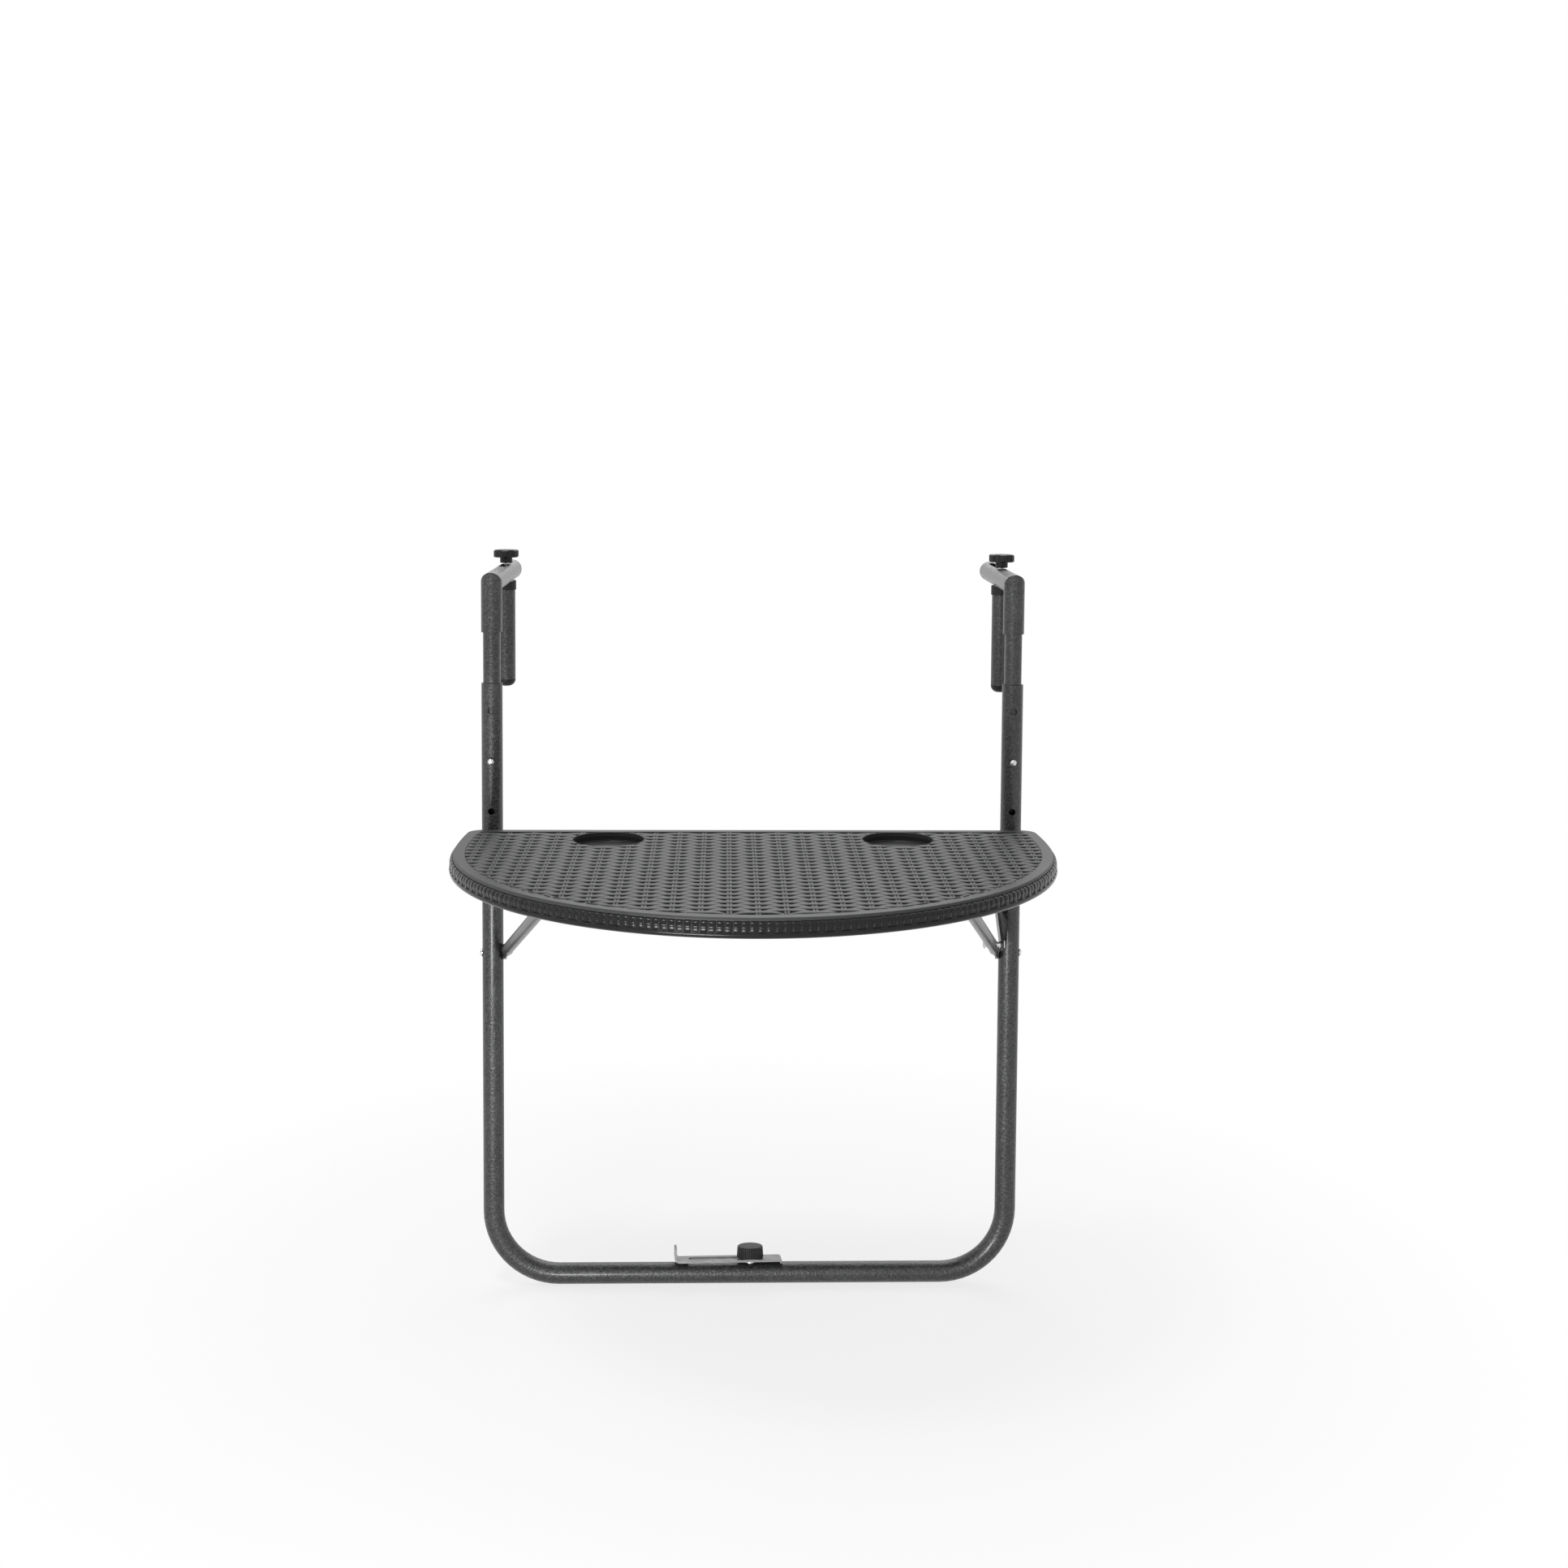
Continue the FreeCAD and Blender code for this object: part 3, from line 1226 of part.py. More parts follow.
def make_standoff_knob():
    """Fluted knob; its screw is moulded in."""
    body = new_body("standoff_knob")
    half = sketch(body, "XZ_Plane")
    foot = "(-%s + foot_hub_gap)" % PLATE_TOP
    skirt = "(%s + foot_hub_height)" % foot
    crown = "(%s + foot_knob_height)" % skirt
    outline(half, [
        ("foot_screw / 2", foot),
        ("foot_hub / 2", foot),
        ("foot_hub / 2", skirt),
        ("foot_knob / 2", skirt, "0.5"),
        ("foot_knob_top / 2", crown, "foot_knob_round"),
        ("0", crown),
        ("0", crown + " - foot_crown"),
        ("foot_screw / 2", crown + " - foot_crown"),
    ])
    revolve(body, half, "Z_Axis")
    flute = sketch(body, "XY_Plane", skirt + " - 1")
    circle(flute, "foot_knob_top / 2 + flute_radius * 0.3", "0", "flute_radius")
    cut = pocket(body, flute, "foot_knob_height + 1 - foot_knob_round", reverse=True)
    polar(body, cut, "Z_Axis", "foot_flutes")
    lean(body)
    finish(body, "standoff_knob")


def make_standoff_screw():
    body = new_body("standoff_screw")
    low = "(bottom_drop - %s + foot_screw_reach)" % TUBE_R
    disc = sketch(body, "XY_Plane", "-" + low)
    circle(disc, "0", "0", "foot_screw / 2")
    over_plate = "foot_hub_gap + foot_hub_height + foot_knob_height - foot_crown"
    pad(body, disc, "%s - %s + %s" % (low, PLATE_TOP, over_plate))
    lean(body)
    finish(body, "standoff_screw")


def make_standoff_insert():
    body = new_body("standoff_insert")
    top = "(bottom_drop - %s + 0.6)" % TUBE_R
    ring = sketch(body, "XY_Plane", "-" + top)
    circle(ring, "0", "0", "foot_insert / 2")
    circle(ring, "0", "0", "foot_screw / 2 + thread_fit")
    pad(body, ring, "foot_insert_length", reverse=True)
    lean(body)
    finish(body, "standoff_insert")


# The whole table.

make_frame_tube()
make_pivot_rivets("top_pivot_rivets", "upper_pivot_drop")
make_pivot_rivets("brace_pivot_rivets", "lower_pivot_drop")
make_lock_stud()
for side, sign, reach in (("left", "-", "post_left"), ("right", "", "post_right")):
    make_hook_arm(side, sign)
    make_hook_sleeve(side, sign)
    make_hook_gusset(side, sign)
    make_inner_tube(side, sign)
    make_snap_button(side, sign)
    make_button_spring(side, sign)
    make_arm_cap(side, sign)
    make_clamp_post(side, sign, reach)
    make_clamp_saddle(side, sign, reach)
    make_post_insert(side, sign, reach)
    make_post_cap(side, sign, reach)
    make_clamp_knob(side, sign, reach)
    make_clamp_bolt(side, sign, reach)
    make_brace_saddle(side, sign)
make_table_top()
make_top_rail()
make_rail_screws()
make_saddle_screws()
make_brace_tube()
make_hook_pivot()
make_lock_hook()
make_standoff_plate()
make_standoff_washer()
make_standoff_knob()
make_standoff_screw()
make_standoff_insert()
doc.recompute()

# Nothing is written unless every object is sound.
for item in doc.Objects:
    if "Invalid" in item.State or "Error" in item.State:
        raise ValueError("%s failed: %s" % (item.Label, item.State))
for piece in NODES:
    if piece.Shape.isNull() or not piece.Shape.isValid():
        raise ValueError("%s has no sound shape" % piece.Label)
for piece in NODES:
    piece.Shape.exportStep("parts/" + piece.Label + ".step")
print("%d nodes" % len(NODES))
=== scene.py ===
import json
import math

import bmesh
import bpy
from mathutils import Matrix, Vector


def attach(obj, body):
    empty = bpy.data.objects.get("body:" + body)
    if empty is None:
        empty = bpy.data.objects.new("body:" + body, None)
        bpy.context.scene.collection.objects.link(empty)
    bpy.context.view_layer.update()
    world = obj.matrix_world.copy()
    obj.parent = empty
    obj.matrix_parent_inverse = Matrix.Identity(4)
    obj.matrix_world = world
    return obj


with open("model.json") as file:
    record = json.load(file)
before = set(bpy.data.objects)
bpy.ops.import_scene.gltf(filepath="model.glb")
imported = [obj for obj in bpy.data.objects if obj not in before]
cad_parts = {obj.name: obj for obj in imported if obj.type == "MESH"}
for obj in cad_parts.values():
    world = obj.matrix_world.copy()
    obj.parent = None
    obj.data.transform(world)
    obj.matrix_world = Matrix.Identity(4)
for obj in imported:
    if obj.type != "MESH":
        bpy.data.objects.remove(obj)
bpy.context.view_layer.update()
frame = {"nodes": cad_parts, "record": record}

# %% [markdown]
# # A folding table for a balcony railing
#
# The steel parts arrive as finished solids, so this lesson gives them their
# surfaces and makes what no drawing office would put in a solid: the woven
# face of the top and the ribbed edge round it. Everything is in metres. Z = 0
# is the underside of the two hook arms, Y = 0 is the plane of the legs, and
# the user sits on the side of minus Y.


def report(piece):
    """Says what was made and how many faces it has."""
    print("%s: %d faces" % (piece.name, len(piece.data.polygons)))


# %% [markdown]
# ## Camera
#
# The photograph was taken with a long lens held about level with the table.
# A camera is easiest to aim when its three axes are written down: where it
# looks, what is right and what is up. It tilts down only a little, so the legs
# stay nearly upright, and a lens shift brings the table into the frame.

# %% Camera at the photograph's angle
HEADING = 0.0290
TILT = 0.0753
ROLL = 0.0068
CAMERA_PLACE = (-0.02995, -2.1169, 0.1747)
LENS = 46.67
SHIFT_UP = -0.13

ahead = Vector((math.sin(HEADING) * math.cos(TILT), math.cos(HEADING) * math.cos(TILT),
                -math.sin(TILT)))
right = Vector((math.cos(HEADING), -math.sin(HEADING), 0))
up = right.cross(ahead)
right, up = (right * math.cos(ROLL) + up * math.sin(ROLL),
             up * math.cos(ROLL) - right * math.sin(ROLL))

camera = bpy.data.objects.new("camera", bpy.data.cameras.new("camera"))
bpy.context.scene.collection.objects.link(camera)
camera.matrix_world = Matrix.Translation(CAMERA_PLACE) @ Matrix(
    (right, up, -ahead)).transposed().to_4x4()
camera.data.sensor_width = 36
camera.data.lens = LENS
camera.data.shift_y = SHIFT_UP
bpy.context.scene.camera = camera
print("camera at", tuple(round(c, 3) for c in camera.location))

# %% [markdown]
# ## A small language for materials
#
# Long node trees are hard to read. A little class that wraps one socket lets
# a pattern be written as arithmetic: adding two patterns makes the Math node
# by itself. One more method makes any other node from its type, its settings
# and its inputs.


# %% Sockets that can be added and multiplied
class Field:
    """One output socket that takes part in sums."""

    def __init__(self, finish, socket):
        self.finish = finish
        self.socket = socket

    def math(self, operation, *others):
        node = self.finish.tree.nodes.new("ShaderNodeMath")
        node.operation = operation
        for place, value in enumerate((self,) + others):
            self.finish.feed(node.inputs[place], value)
        return Field(self.finish, node.outputs[0])

    def __add__(self, other):
        return self.math("ADD", other)

    def __radd__(self, other):
        return self.math("ADD", other)

    def __sub__(self, other):
        return self.math("SUBTRACT", other)

    def __rsub__(self, other):
        return (self * -1.0) + other

    def __mul__(self, other):
        return self.math("MULTIPLY", other)

    def __rmul__(self, other):
        return self.math("MULTIPLY", other)

    def clamp(self):
        return self.math("MINIMUM", 1.0).math("MAXIMUM", 0.0)

    def above(self, start, full):
        """0 below start, 1 above full, straight between them."""
        return ((self - start) * (1.0 / (full - start))).clamp()

    def part(self, axis):
        """One of the three numbers of a place or a direction."""
        return self.finish.node("ShaderNodeSeparateXYZ", Vector=self).out(axis)


# %% A finish: one material and its nodes
class Finish:
    """A material under construction."""

    def __init__(self, name, **constants):
        self.material = bpy.data.materials.new(name)
        self.material.use_nodes = True
        self.tree = self.material.node_tree
        self.shader = self.tree.nodes["Principled BSDF"]
        for socket, value in constants.items():
            self.shader.inputs[socket.replace("_", " ")].default_value = value
        self.place = self.node("ShaderNodeTexCoord").out("Object")

    def feed(self, socket, value):
        if isinstance(value, Field):
            self.tree.links.new(value.socket, socket)
        else:
            socket.default_value = value

    def node(self, kind, settings=None, **values):
        """Any node: its settings first, then its inputs by name."""
        made = self.tree.nodes.new(kind)
        for name, value in (settings or {}).items():
            setattr(made, name, value)
        for name, value in values.items():
            self.feed(made.inputs[name.replace("_", " ")], value)
        return Outputs(self, made)

    def noise(self, scale, detail=2.0, place=None):
        return self.node("ShaderNodeTexNoise", Vector=place or self.place, Scale=scale,
                         Detail=detail).out("Fac")

    def cells(self, scale):
        return self.node("ShaderNodeTexVoronoi", {"feature": "SMOOTH_F1"}, Vector=self.place,
                         Scale=scale).out("Distance")

    def stretch(self, x, y, z):
        """The pattern's place, squeezed along each axis."""
        return self.node("ShaderNodeMapping", Vector=self.place, Scale=(x, y, z)).out("Vector")

    def colour(self, mask, low, high):
        """A colour between two, by a mask."""
        made = self.tree.nodes.new("ShaderNodeMix")
        made.data_type = "RGBA"
        self.feed(made.inputs[0], mask)
        made.inputs[6].default_value = (*low, 1)
        made.inputs[7].default_value = (*high, 1)
        return Field(self, made.outputs[2])

    def set(self, name, field):
        self.feed(self.shader.inputs[name], field)

    def bump(self, height, strength, distance):
        made = self.node("ShaderNodeBump", Height=height, Strength=strength, Distance=distance)
        self.set("Normal", made.out("Normal"))


class Outputs:
    """The outputs of a node that was just made."""

    def __init__(self, finish, made):
        self.finish = finish
        self.made = made

    def out(self, name):
        return Field(self.finish, self.made.outputs[name])


# %% [markdown]
# ## Hammered powder coat
#
# The tubes are coated with a dark grey powder that flows into small round
# dimples as it bakes. Voronoi cells a couple of millimetres wide give the
# dimples, a finer noise the grain in them, and the same cells lighten the
# colour where the coat is thin. Bump is right here: the dimples are far too
# shallow to show in an outline.
#
# Every colour below is a dark and a light one, mixed by a mask that a pattern
# gives, so the surface varies softly as a real coat does.

# %% Hammered coat for the tubes
hammered = Finish("hammered_coat", Metallic=0.40, Coat_Weight=0.30, Coat_Roughness=0.15)
dimples = hammered.cells(430.0)
grain = hammered.noise(950.0, 3.0)
drift = hammered.noise(26.0, 2.0)
mottle = (grain * 0.60 + dimples * 0.50 + drift * 0.25).above(0.40, 0.95)
hammered.set("Base Color", hammered.colour(mottle, (0.010, 0.010, 0.011), (0.085, 0.086, 0.088)))
hammered.set("Roughness", 0.28 + grain * 0.22)
hammered.bump(dimples * 0.8 + grain * 0.35, 0.70, 0.0007)
print("hammered coat done")

# %% [markdown]
# ## Zinc, plate steel and black plastic
#
# Rivets, buttons and screws are bright zinc with fine turning marks. The foot
# plate is stamped from zinc-plated strip, so its sheen runs along it. Knobs
# and caps are moulded in black with a fine spark-eroded grain.

# %% Bright zinc
zinc = Finish("bright_zinc", Metallic=1.0)
scratches = zinc.noise(1500.0, 2.0)
bloom = zinc.noise(160.0, 3.0)
zinc.set("Base Color", zinc.colour(bloom.above(0.3, 0.7), (0.50, 0.50, 0.50), (0.72, 0.72, 0.71)))
zinc.set("Roughness", 0.18 + bloom * 0.20)
zinc.bump(scratches, 0.15, 0.0002)

# %% Plated strip
strip = Finish("plated_strip", Metallic=0.90)
drawn = strip.noise(90.0, 3.0, strip.stretch(1.0, 14.0, 14.0))
cloud = strip.noise(70.0, 3.0)
strip.set("Base Color", strip.colour((drawn * 0.6 + cloud * 0.4).above(0.35, 0.65),
                                     (0.15, 0.15, 0.155), (0.28, 0.28, 0.28)))
strip.set("Roughness", 0.30 + drawn * 0.25)
strip.bump(drawn, 0.20, 0.0002)

# %% Black plastic
black = Finish("black_plastic", Specular_IOR_Level=0.30)
grain = black.noise(1400.0, 2.0)
cloud = black.noise(55.0, 2.0)
black.set("Base Color", black.colour((grain * 0.5 + cloud * 0.5).above(0.3, 0.7),
                                     (0.006, 0.006, 0.007), (0.017, 0.017, 0.018)))
black.set("Roughness", 0.40 + cloud * 0.18)
black.bump(grain, 0.25, 0.0003)
print("metals and black plastic done")

# %% [markdown]
# ## Grey plastic of the top
#
# The top is moulded in one shot of dark grey polypropylene with a fine grain.
# The floor of its woven field and the wall behind the pads of the rim are
# painted darker, as painted shade in those recesses. The masks for that are
# made from height and from the direction in which the surface looks, both in
# the piece's own axes, so they stay in place when the top folds. The rim is
# glossy, and its colour is painted far darker than the rest of the top, as
# painted shade on a side that faces away from the light. The weave is painted
# darker with depth, as painted shade in its pockets, so its tops are paler.

# %% Level of the face and grey plastic
FACE = -0.244
# Heights at which painted shade darkens the floor of the field and the wall behind the pads.
FLOOR_BAND = (FACE - 0.0016, FACE - 0.0014, FACE - 0.0010, FACE - 0.0008)
WALL_BAND = (FACE - 0.0142, FACE - 0.0138, FACE - 0.0036, FACE - 0.0026)


def within(height, band):
    """1 between the inner two heights of a band, 0 outside the outer two."""
    return height.above(band[0], band[1]) - height.above(band[2], band[3])


moulded = Finish("moulded_grey", Specular_IOR_Level=0.25)
grain = moulded.noise(1100.0, 2.0)
cloud = moulded.noise(9.0, 3.0)
height = moulded.place.part("Z")
upward = moulded.node("ShaderNodeTexCoord").out("Normal").part("Z").above(0.80, 0.95)
# Painted shade: the floor of the woven field and the wall behind the rim's pads are darkened by
# these masks.
sunk_shade = within(height, FLOOR_BAND) * upward
behind = within(height, WALL_BAND) * (1 - upward)
shade = (0.35 + grain * 0.2 + cloud * 0.45) * (1 - sunk_shade * 0.9) * (1 - behind * 0.8)
moulded.set("Base Color", moulded.colour(shade, (0.008, 0.008, 0.009), (0.060, 0.061, 0.062)))
moulded.set("Roughness", 0.36 + cloud * 0.14)
moulded.bump(grain, 0.25, 0.0003)

# %% Polished plastic of the rim, with painted shade in its colour
polished_shaded = Finish("polished_shaded_grey", Specular_IOR_Level=0.26)
grain = polished_shaded.noise(1100.0, 2.0)
cloud = polished_shaded.noise(30.0, 3.0)
# Painted shade: the rim's base colour is far darker than the rest of the top's grey plastic, for a
# side that faces away from the light. Its gloss is real.
polished_shaded.set("Base Color", polished_shaded.colour((grain * 0.35 + cloud * 0.65).above(0.3, 0.7),
                                           (0.004, 0.004, 0.005), (0.011, 0.011, 0.012)))
polished_shaded.set("Roughness", 0.16 + cloud * 0.06)
polished_shaded.bump(grain, 0.08, 0.0002)

# %% Woven plastic
# Heights over which the painted shade in the weave's pockets fades out.
POCKET_SHADE_FROM = FACE - 0.0015
POCKET_SHADE_TO = FACE - 0.0001
woven = Finish("woven_grey", Specular_IOR_Level=0.25)
streaks = woven.noise(170.0, 3.0, woven.stretch(0.25, 4.0, 1.0))
cloud = woven.noise(9.0, 3.0)
# Painted shade: the weave darkens with depth, so its pockets are dark and its tops pale.
depth_shade = woven.place.part("Z").above(POCKET_SHADE_FROM, POCKET_SHADE_TO)
tone = (0.35 + streaks * 0.30 + cloud * 0.35) * depth_shade
woven.set("Base Color", woven.colour(tone, (0.012, 0.012, 0.013), (0.088, 0.089, 0.090)))
woven.set("Roughness", 0.40 + streaks * 0.16)
woven.bump(streaks, 0.25, 0.0003)
print("grey plastic done")

# %% Every solid takes its finish
FINISH_OF_SLOT = {"hammertone": hammered, "zinc": zinc, "plate_steel": strip,
                  "top_plastic": moulded, "black_plastic": black}
for subpart in frame["record"]["subparts"]:
    solid = frame["nodes"][subpart["node"]]
    solid.data.materials.clear()
    solid.data.materials.append(FINISH_OF_SLOT[subpart["material_slot"]].material)
print("%d solids dressed" % len(frame["nodes"]))

# %% [markdown]
# ## Outline of the top
#
# The weave and the ribs both follow the edge of the top: a half circle in
# front, a slight curve at the sides, small corners and a straight rear edge.
# One function gives the half width at any depth. Another walks round the edge
# and returns a place with its outward direction.

# %% Half width of the top
# A corner drawn inset keeps part of its radius, as the border of the weave does.
FRONT_RADIUS = 0.300
FRONT_CENTRE = -0.109
SIDE_RADIUS = 0.800
REAR = -0.023
CORNER = 0.017
CORNER_SHARE = 0.6


def half_width(y, inset):
    """Half the width of the outline, drawn inset, at depth y."""
    front = FRONT_RADIUS - inset
    side = SIDE_RADIUS - inset
    corner = CORNER - CORNER_SHARE * inset
    rear = REAR - inset
    if y > rear or y < FRONT_CENTRE - front:
        return 0.0
    if y <= FRONT_CENTRE:
        return math.sqrt(front ** 2 - (y - FRONT_CENTRE) ** 2)
    middle = front - side
    corner_y = rear - corner
    corner_x = middle + math.sqrt((side - corner) ** 2 - (corner_y - FRONT_CENTRE) ** 2)
    reach = middle + math.sqrt(side ** 2 - (y - FRONT_CENTRE) ** 2)
    if y > corner_y:
        reach = min(reach, corner_x + math.sqrt(max(corner ** 2 - (y - corner_y) ** 2, 0.0)))
    return reach


print("top is %.3f m wide" % (2 * half_width(FRONT_CENTRE, 0)))

# %% Walk round the edge
MIDDLE = FRONT_RADIUS - SIDE_RADIUS
TIP = math.asin((REAR - CORNER - FRONT_CENTRE) / (SIDE_RADIUS - CORNER))
CORNER_X = MIDDLE + (SIDE_RADIUS - CORNER) * math.cos(TIP)
STRETCHES = [FRONT_RADIUS * math.pi / 2, SIDE_RADIUS * TIP, CORNER * (math.pi / 2 - TIP),
             CORNER_X]
HALF_ROUND_TRIP = sum(STRETCHES)


def edge_place(walked):
    """Matrix of a place on the edge: Y looks outward, Z up.

    The walk starts and ends in the middle of the rear and passes the front at half of it.
    """
    side = 1 if walked > HALF_ROUND_TRIP else -1
    way = abs(walked - HALF_ROUND_TRIP)
    if way < STRETCHES[0]:
        turn = way / FRONT_RADIUS
        spot, out = (0, FRONT_CENTRE, FRONT_RADIUS), (math.sin(turn), -math.cos(turn))
    elif way < STRETCHES[0] + STRETCHES[1]:
        turn = (way - STRETCHES[0]) / SIDE_RADIUS
        spot, out = (MIDDLE, FRONT_CENTRE, SIDE_RADIUS), (math.cos(turn), math.sin(turn))
    elif way < HALF_ROUND_TRIP - CORNER_X:
        turn = TIP + (way - STRETCHES[0] - STRETCHES[1]) / CORNER
        spot, out = (CORNER_X, REAR - CORNER, CORNER), (math.cos(turn), math.sin(turn))
    else:
        spot, out = (HALF_ROUND_TRIP - way, REAR, 0.0), (0.0, 1.0)
    x = side * (spot[0] + spot[2] * out[0])
    heading = math.atan2(-side * out[0], out[1])
    y = spot[1] + spot[2] * out[1]
    return Matrix.Translation((x, y, FACE)) @ Matrix.Rotation(heading, 4, "Z")


print("edge is %.3f m long" % (2 * HALF_ROUND_TRIP))

# %% [markdown]
# ## From a bmesh to a piece
#
# All the pieces of the top are made the same way: strands that are extruded
# ring by ring, and one call that merges their doubles, turns their faces out
# and ties the piece to the body of the top.

# %% One strand by repeated extrusion
def strand(rings):
    """Closed strand through rings of corners.

    Each extrusion leaves the old end face inside, so that face is taken out again.
    """
    work = bmesh.new()
    bmesh.ops.create_circle(work, cap_ends=True, segments=len(rings[0]), radius=0.001)
    face = work.faces[:][0]
    for corner, spot in zip(face.verts, rings[0]):
        corner.co = spot
    for number, ring in enumerate(rings[1:]):
        made = bmesh.ops.extrude_face_region(work, geom=[face])["geom"]
        if number:
            bmesh.ops.delete(work, geom=[face], context="FACES_ONLY")
        face = next(part for part in made if isinstance(part, bmesh.types.BMFace))
        for corner, spot in zip(face.verts, ring):
            corner.co = spot
    bmesh.ops.recalc_face_normals(work, faces=work.faces)
    mesh = bpy.data.meshes.new("strand")
    work.to_mesh(mesh)
    work.free()
    return mesh


def take_in(work, mesh):
    """Adds a mesh to a bmesh and removes it."""
    work.from_mesh(mesh)
    bpy.data.meshes.remove(mesh)


def steps(start, end, step):
    """Even places from start to end, about a step apart."""
    count = max(2, math.ceil((end - start) / step))
    return [start + (end - start) * n / count for n in range(count + 1)]


# %% From a bmesh to a smooth piece
MERGE = 0.00002


def piece_from(work, name, finish, body):
    """Makes the object, smooths it, and ties it to its body."""
    bmesh.ops.remove_doubles(work, verts=work.verts, dist=MERGE)
    bmesh.ops.recalc_face_normals(work, faces=work.faces)
    mesh = bpy.data.meshes.new(name)
    work.to_mesh(mesh)
    work.free()
    mesh.materials.append(finish.material)
    mesh.polygons.foreach_set("use_smooth", [True] * len(mesh.polygons))
    piece = bpy.data.objects.new(name, mesh)
    bpy.context.scene.collection.objects.link(piece)
    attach(piece, body)
    report(piece)
    return piece


# %% [markdown]
# ## Cups
#
# Two round cups are sunk in the face, and the weave ends at them in a clean
# circle. A boolean with a cylinder cuts every strand that comes near a cup, so
# no end has to be worked out by hand. A narrow raised lip finishes the hole.

# %% A cylinder to cut with
CUP_RADIUS = 0.036
CUP_PLACES = [Vector((-0.147, -0.076, FACE)), Vector((0.147, -0.076, FACE))]
LIP_WIDTH = 0.0008
ROUND_STEPS = 128
CUT_RADIUS = CUP_RADIUS + LIP_WIDTH / 2

cutting = bmesh.new()
for cup in CUP_PLACES:
    bmesh.ops.create_cone(cutting, cap_ends=True, segments=ROUND_STEPS, radius1=CUT_RADIUS,
                          radius2=CUT_RADIUS, depth=0.02, matrix=Matrix.Translation(cup))
cutter = bpy.data.objects.new("cutter", bpy.data.meshes.new("cutter"))
cutting.to_mesh(cutter.data)
cutting.free()
bpy.context.scene.collection.objects.link(cutter)


def clear_of_cups(mesh):
    """The same strand without what lies inside the cups."""
    whole = bpy.data.objects.new("whole", mesh)
    bpy.context.scene.collection.objects.link(whole)
    cut = whole.modifiers.new("cups", "BOOLEAN")
    cut.operation = "DIFFERENCE"
    cut.solver = "EXACT"
    cut.object = cutter
    depsgraph = bpy.context.evaluated_depsgraph_get()
    made = bpy.data.meshes.new_from_object(whole.evaluated_get(depsgraph))
    bpy.data.objects.remove(whole)
    bpy.data.meshes.remove(mesh)
    return made


# %% Lip of each cup
LIP_PROFILE = [(0.0, -0.0013), (0.0, 0.0001), (0.00015, 0.0004), (0.0005, 0.0005),
               (0.0008, 0.0003), (0.0009, -0.0013)]
lips = bmesh.new()
for cup in CUP_PLACES:
    loop = [lips.verts.new(cup + Vector((CUP_RADIUS + out, 0, rise))) for out, rise in LIP_PROFILE]
    edges = [lips.edges.new(pair) for pair in zip(loop, loop[1:] + loop[:1])]
    bmesh.ops.spin(lips, geom=loop + edges, cent=cup, axis=(0, 0, 1), angle=2 * math.pi,
                   steps=ROUND_STEPS, use_merge=True)
cup_lips = piece_from(lips, "cup_lips", woven, "top")

# %% [markdown]
# ## Woven face
#
# The face imitates flat reed: bands across the table pass over and under
# pairs of round strips that run front to back every 25 mm, and each band does
# the opposite of its neighbour. Real geometry is needed, because the bands
# catch the light as long arched pads and the pockets beside the strips are
# dark; the woven finish also paints shade into those pockets. Each band is
# one flat oval that is extruded step by step. Its wave has a broad back and a
# short dive, in which it slips under the strips, so the steps are close
# together there and far apart on the back.

# %% Numbers of the weave
BAND_PITCH = 0.0075
BAND_HALF = 0.00375
STRIP_PITCH = 0.025
BAND_LEVEL = FACE - 0.00030
WAVE = 0.00105
FIELD_INSET = 0.0134
SWELL = 0.10
DIVE_POWER = 3
OUTER_COLUMN = 12
OVAL = [(-1.0, -0.0015), (-0.97, -0.0008), (-0.82, -0.00033), (-0.50, -0.00007), (0.0, 0.0),
        (0.50, -0.00007), (0.82, -0.00033), (0.97, -0.0008), (1.0, -0.0015)]
GAPS = [0.0, 0.0024, 0.0037, 0.0050, 0.0065, 0.0082, 0.0103, 0.0135, 0.0185, 0.025]
END_DIP = 0.0020
END_RUN = 0.0022
END_STEP = 0.001
END_CLEAR = 0.0025


def lift(x, row):
    """1 on the back of a band, -1 at the bottom of its dive."""
    low = (1 - math.cos(math.pi * (x / STRIP_PITCH + row))) / 2
    return 1 - 2 * low ** DIVE_POWER


def dip(x, start, end):
    """How far a band sinks at its two ends."""
    near = min(x - start, end - x)
    return END_DIP * max(0.0, 1.0 - near / END_RUN) ** 2


# %% One band
def band_places(row, start, end):
    """Places along a band, close together where it dives and at its ends."""
    spots = {start, start + END_STEP, start + 2 * END_STEP,
             end - 2 * END_STEP, end - END_STEP, end}
    for column in range(-OUTER_COLUMN, OUTER_COLUMN + 1):
        if (column + row) % 2:
            for gap in GAPS:
                spots.update(x for x in (round(column * STRIP_PITCH - gap, 5),
                                         round(column * STRIP_PITCH + gap, 5))
                             if start + END_CLEAR < x < end - END_CLEAR)
    return sorted(spots)


def band(row, y, edge):
    """Strand of one row, whose corners also keep inside the border."""
    rings = []
    for x in band_places(row, -edge, edge):
        up = lift(x, row)
        half = BAND_HALF * (1 + SWELL * up)
        level = BAND_LEVEL + WAVE * up - dip(x, -edge, edge)
        ring = []
        for across, drop in OVAL:
            spot = y + across * half
            reach = half_width(spot, FIELD_INSET)
            ring.append(Vector((max(-reach, min(reach, x)), spot, level + drop)))
        rings.append(ring)
    return strand(rings)


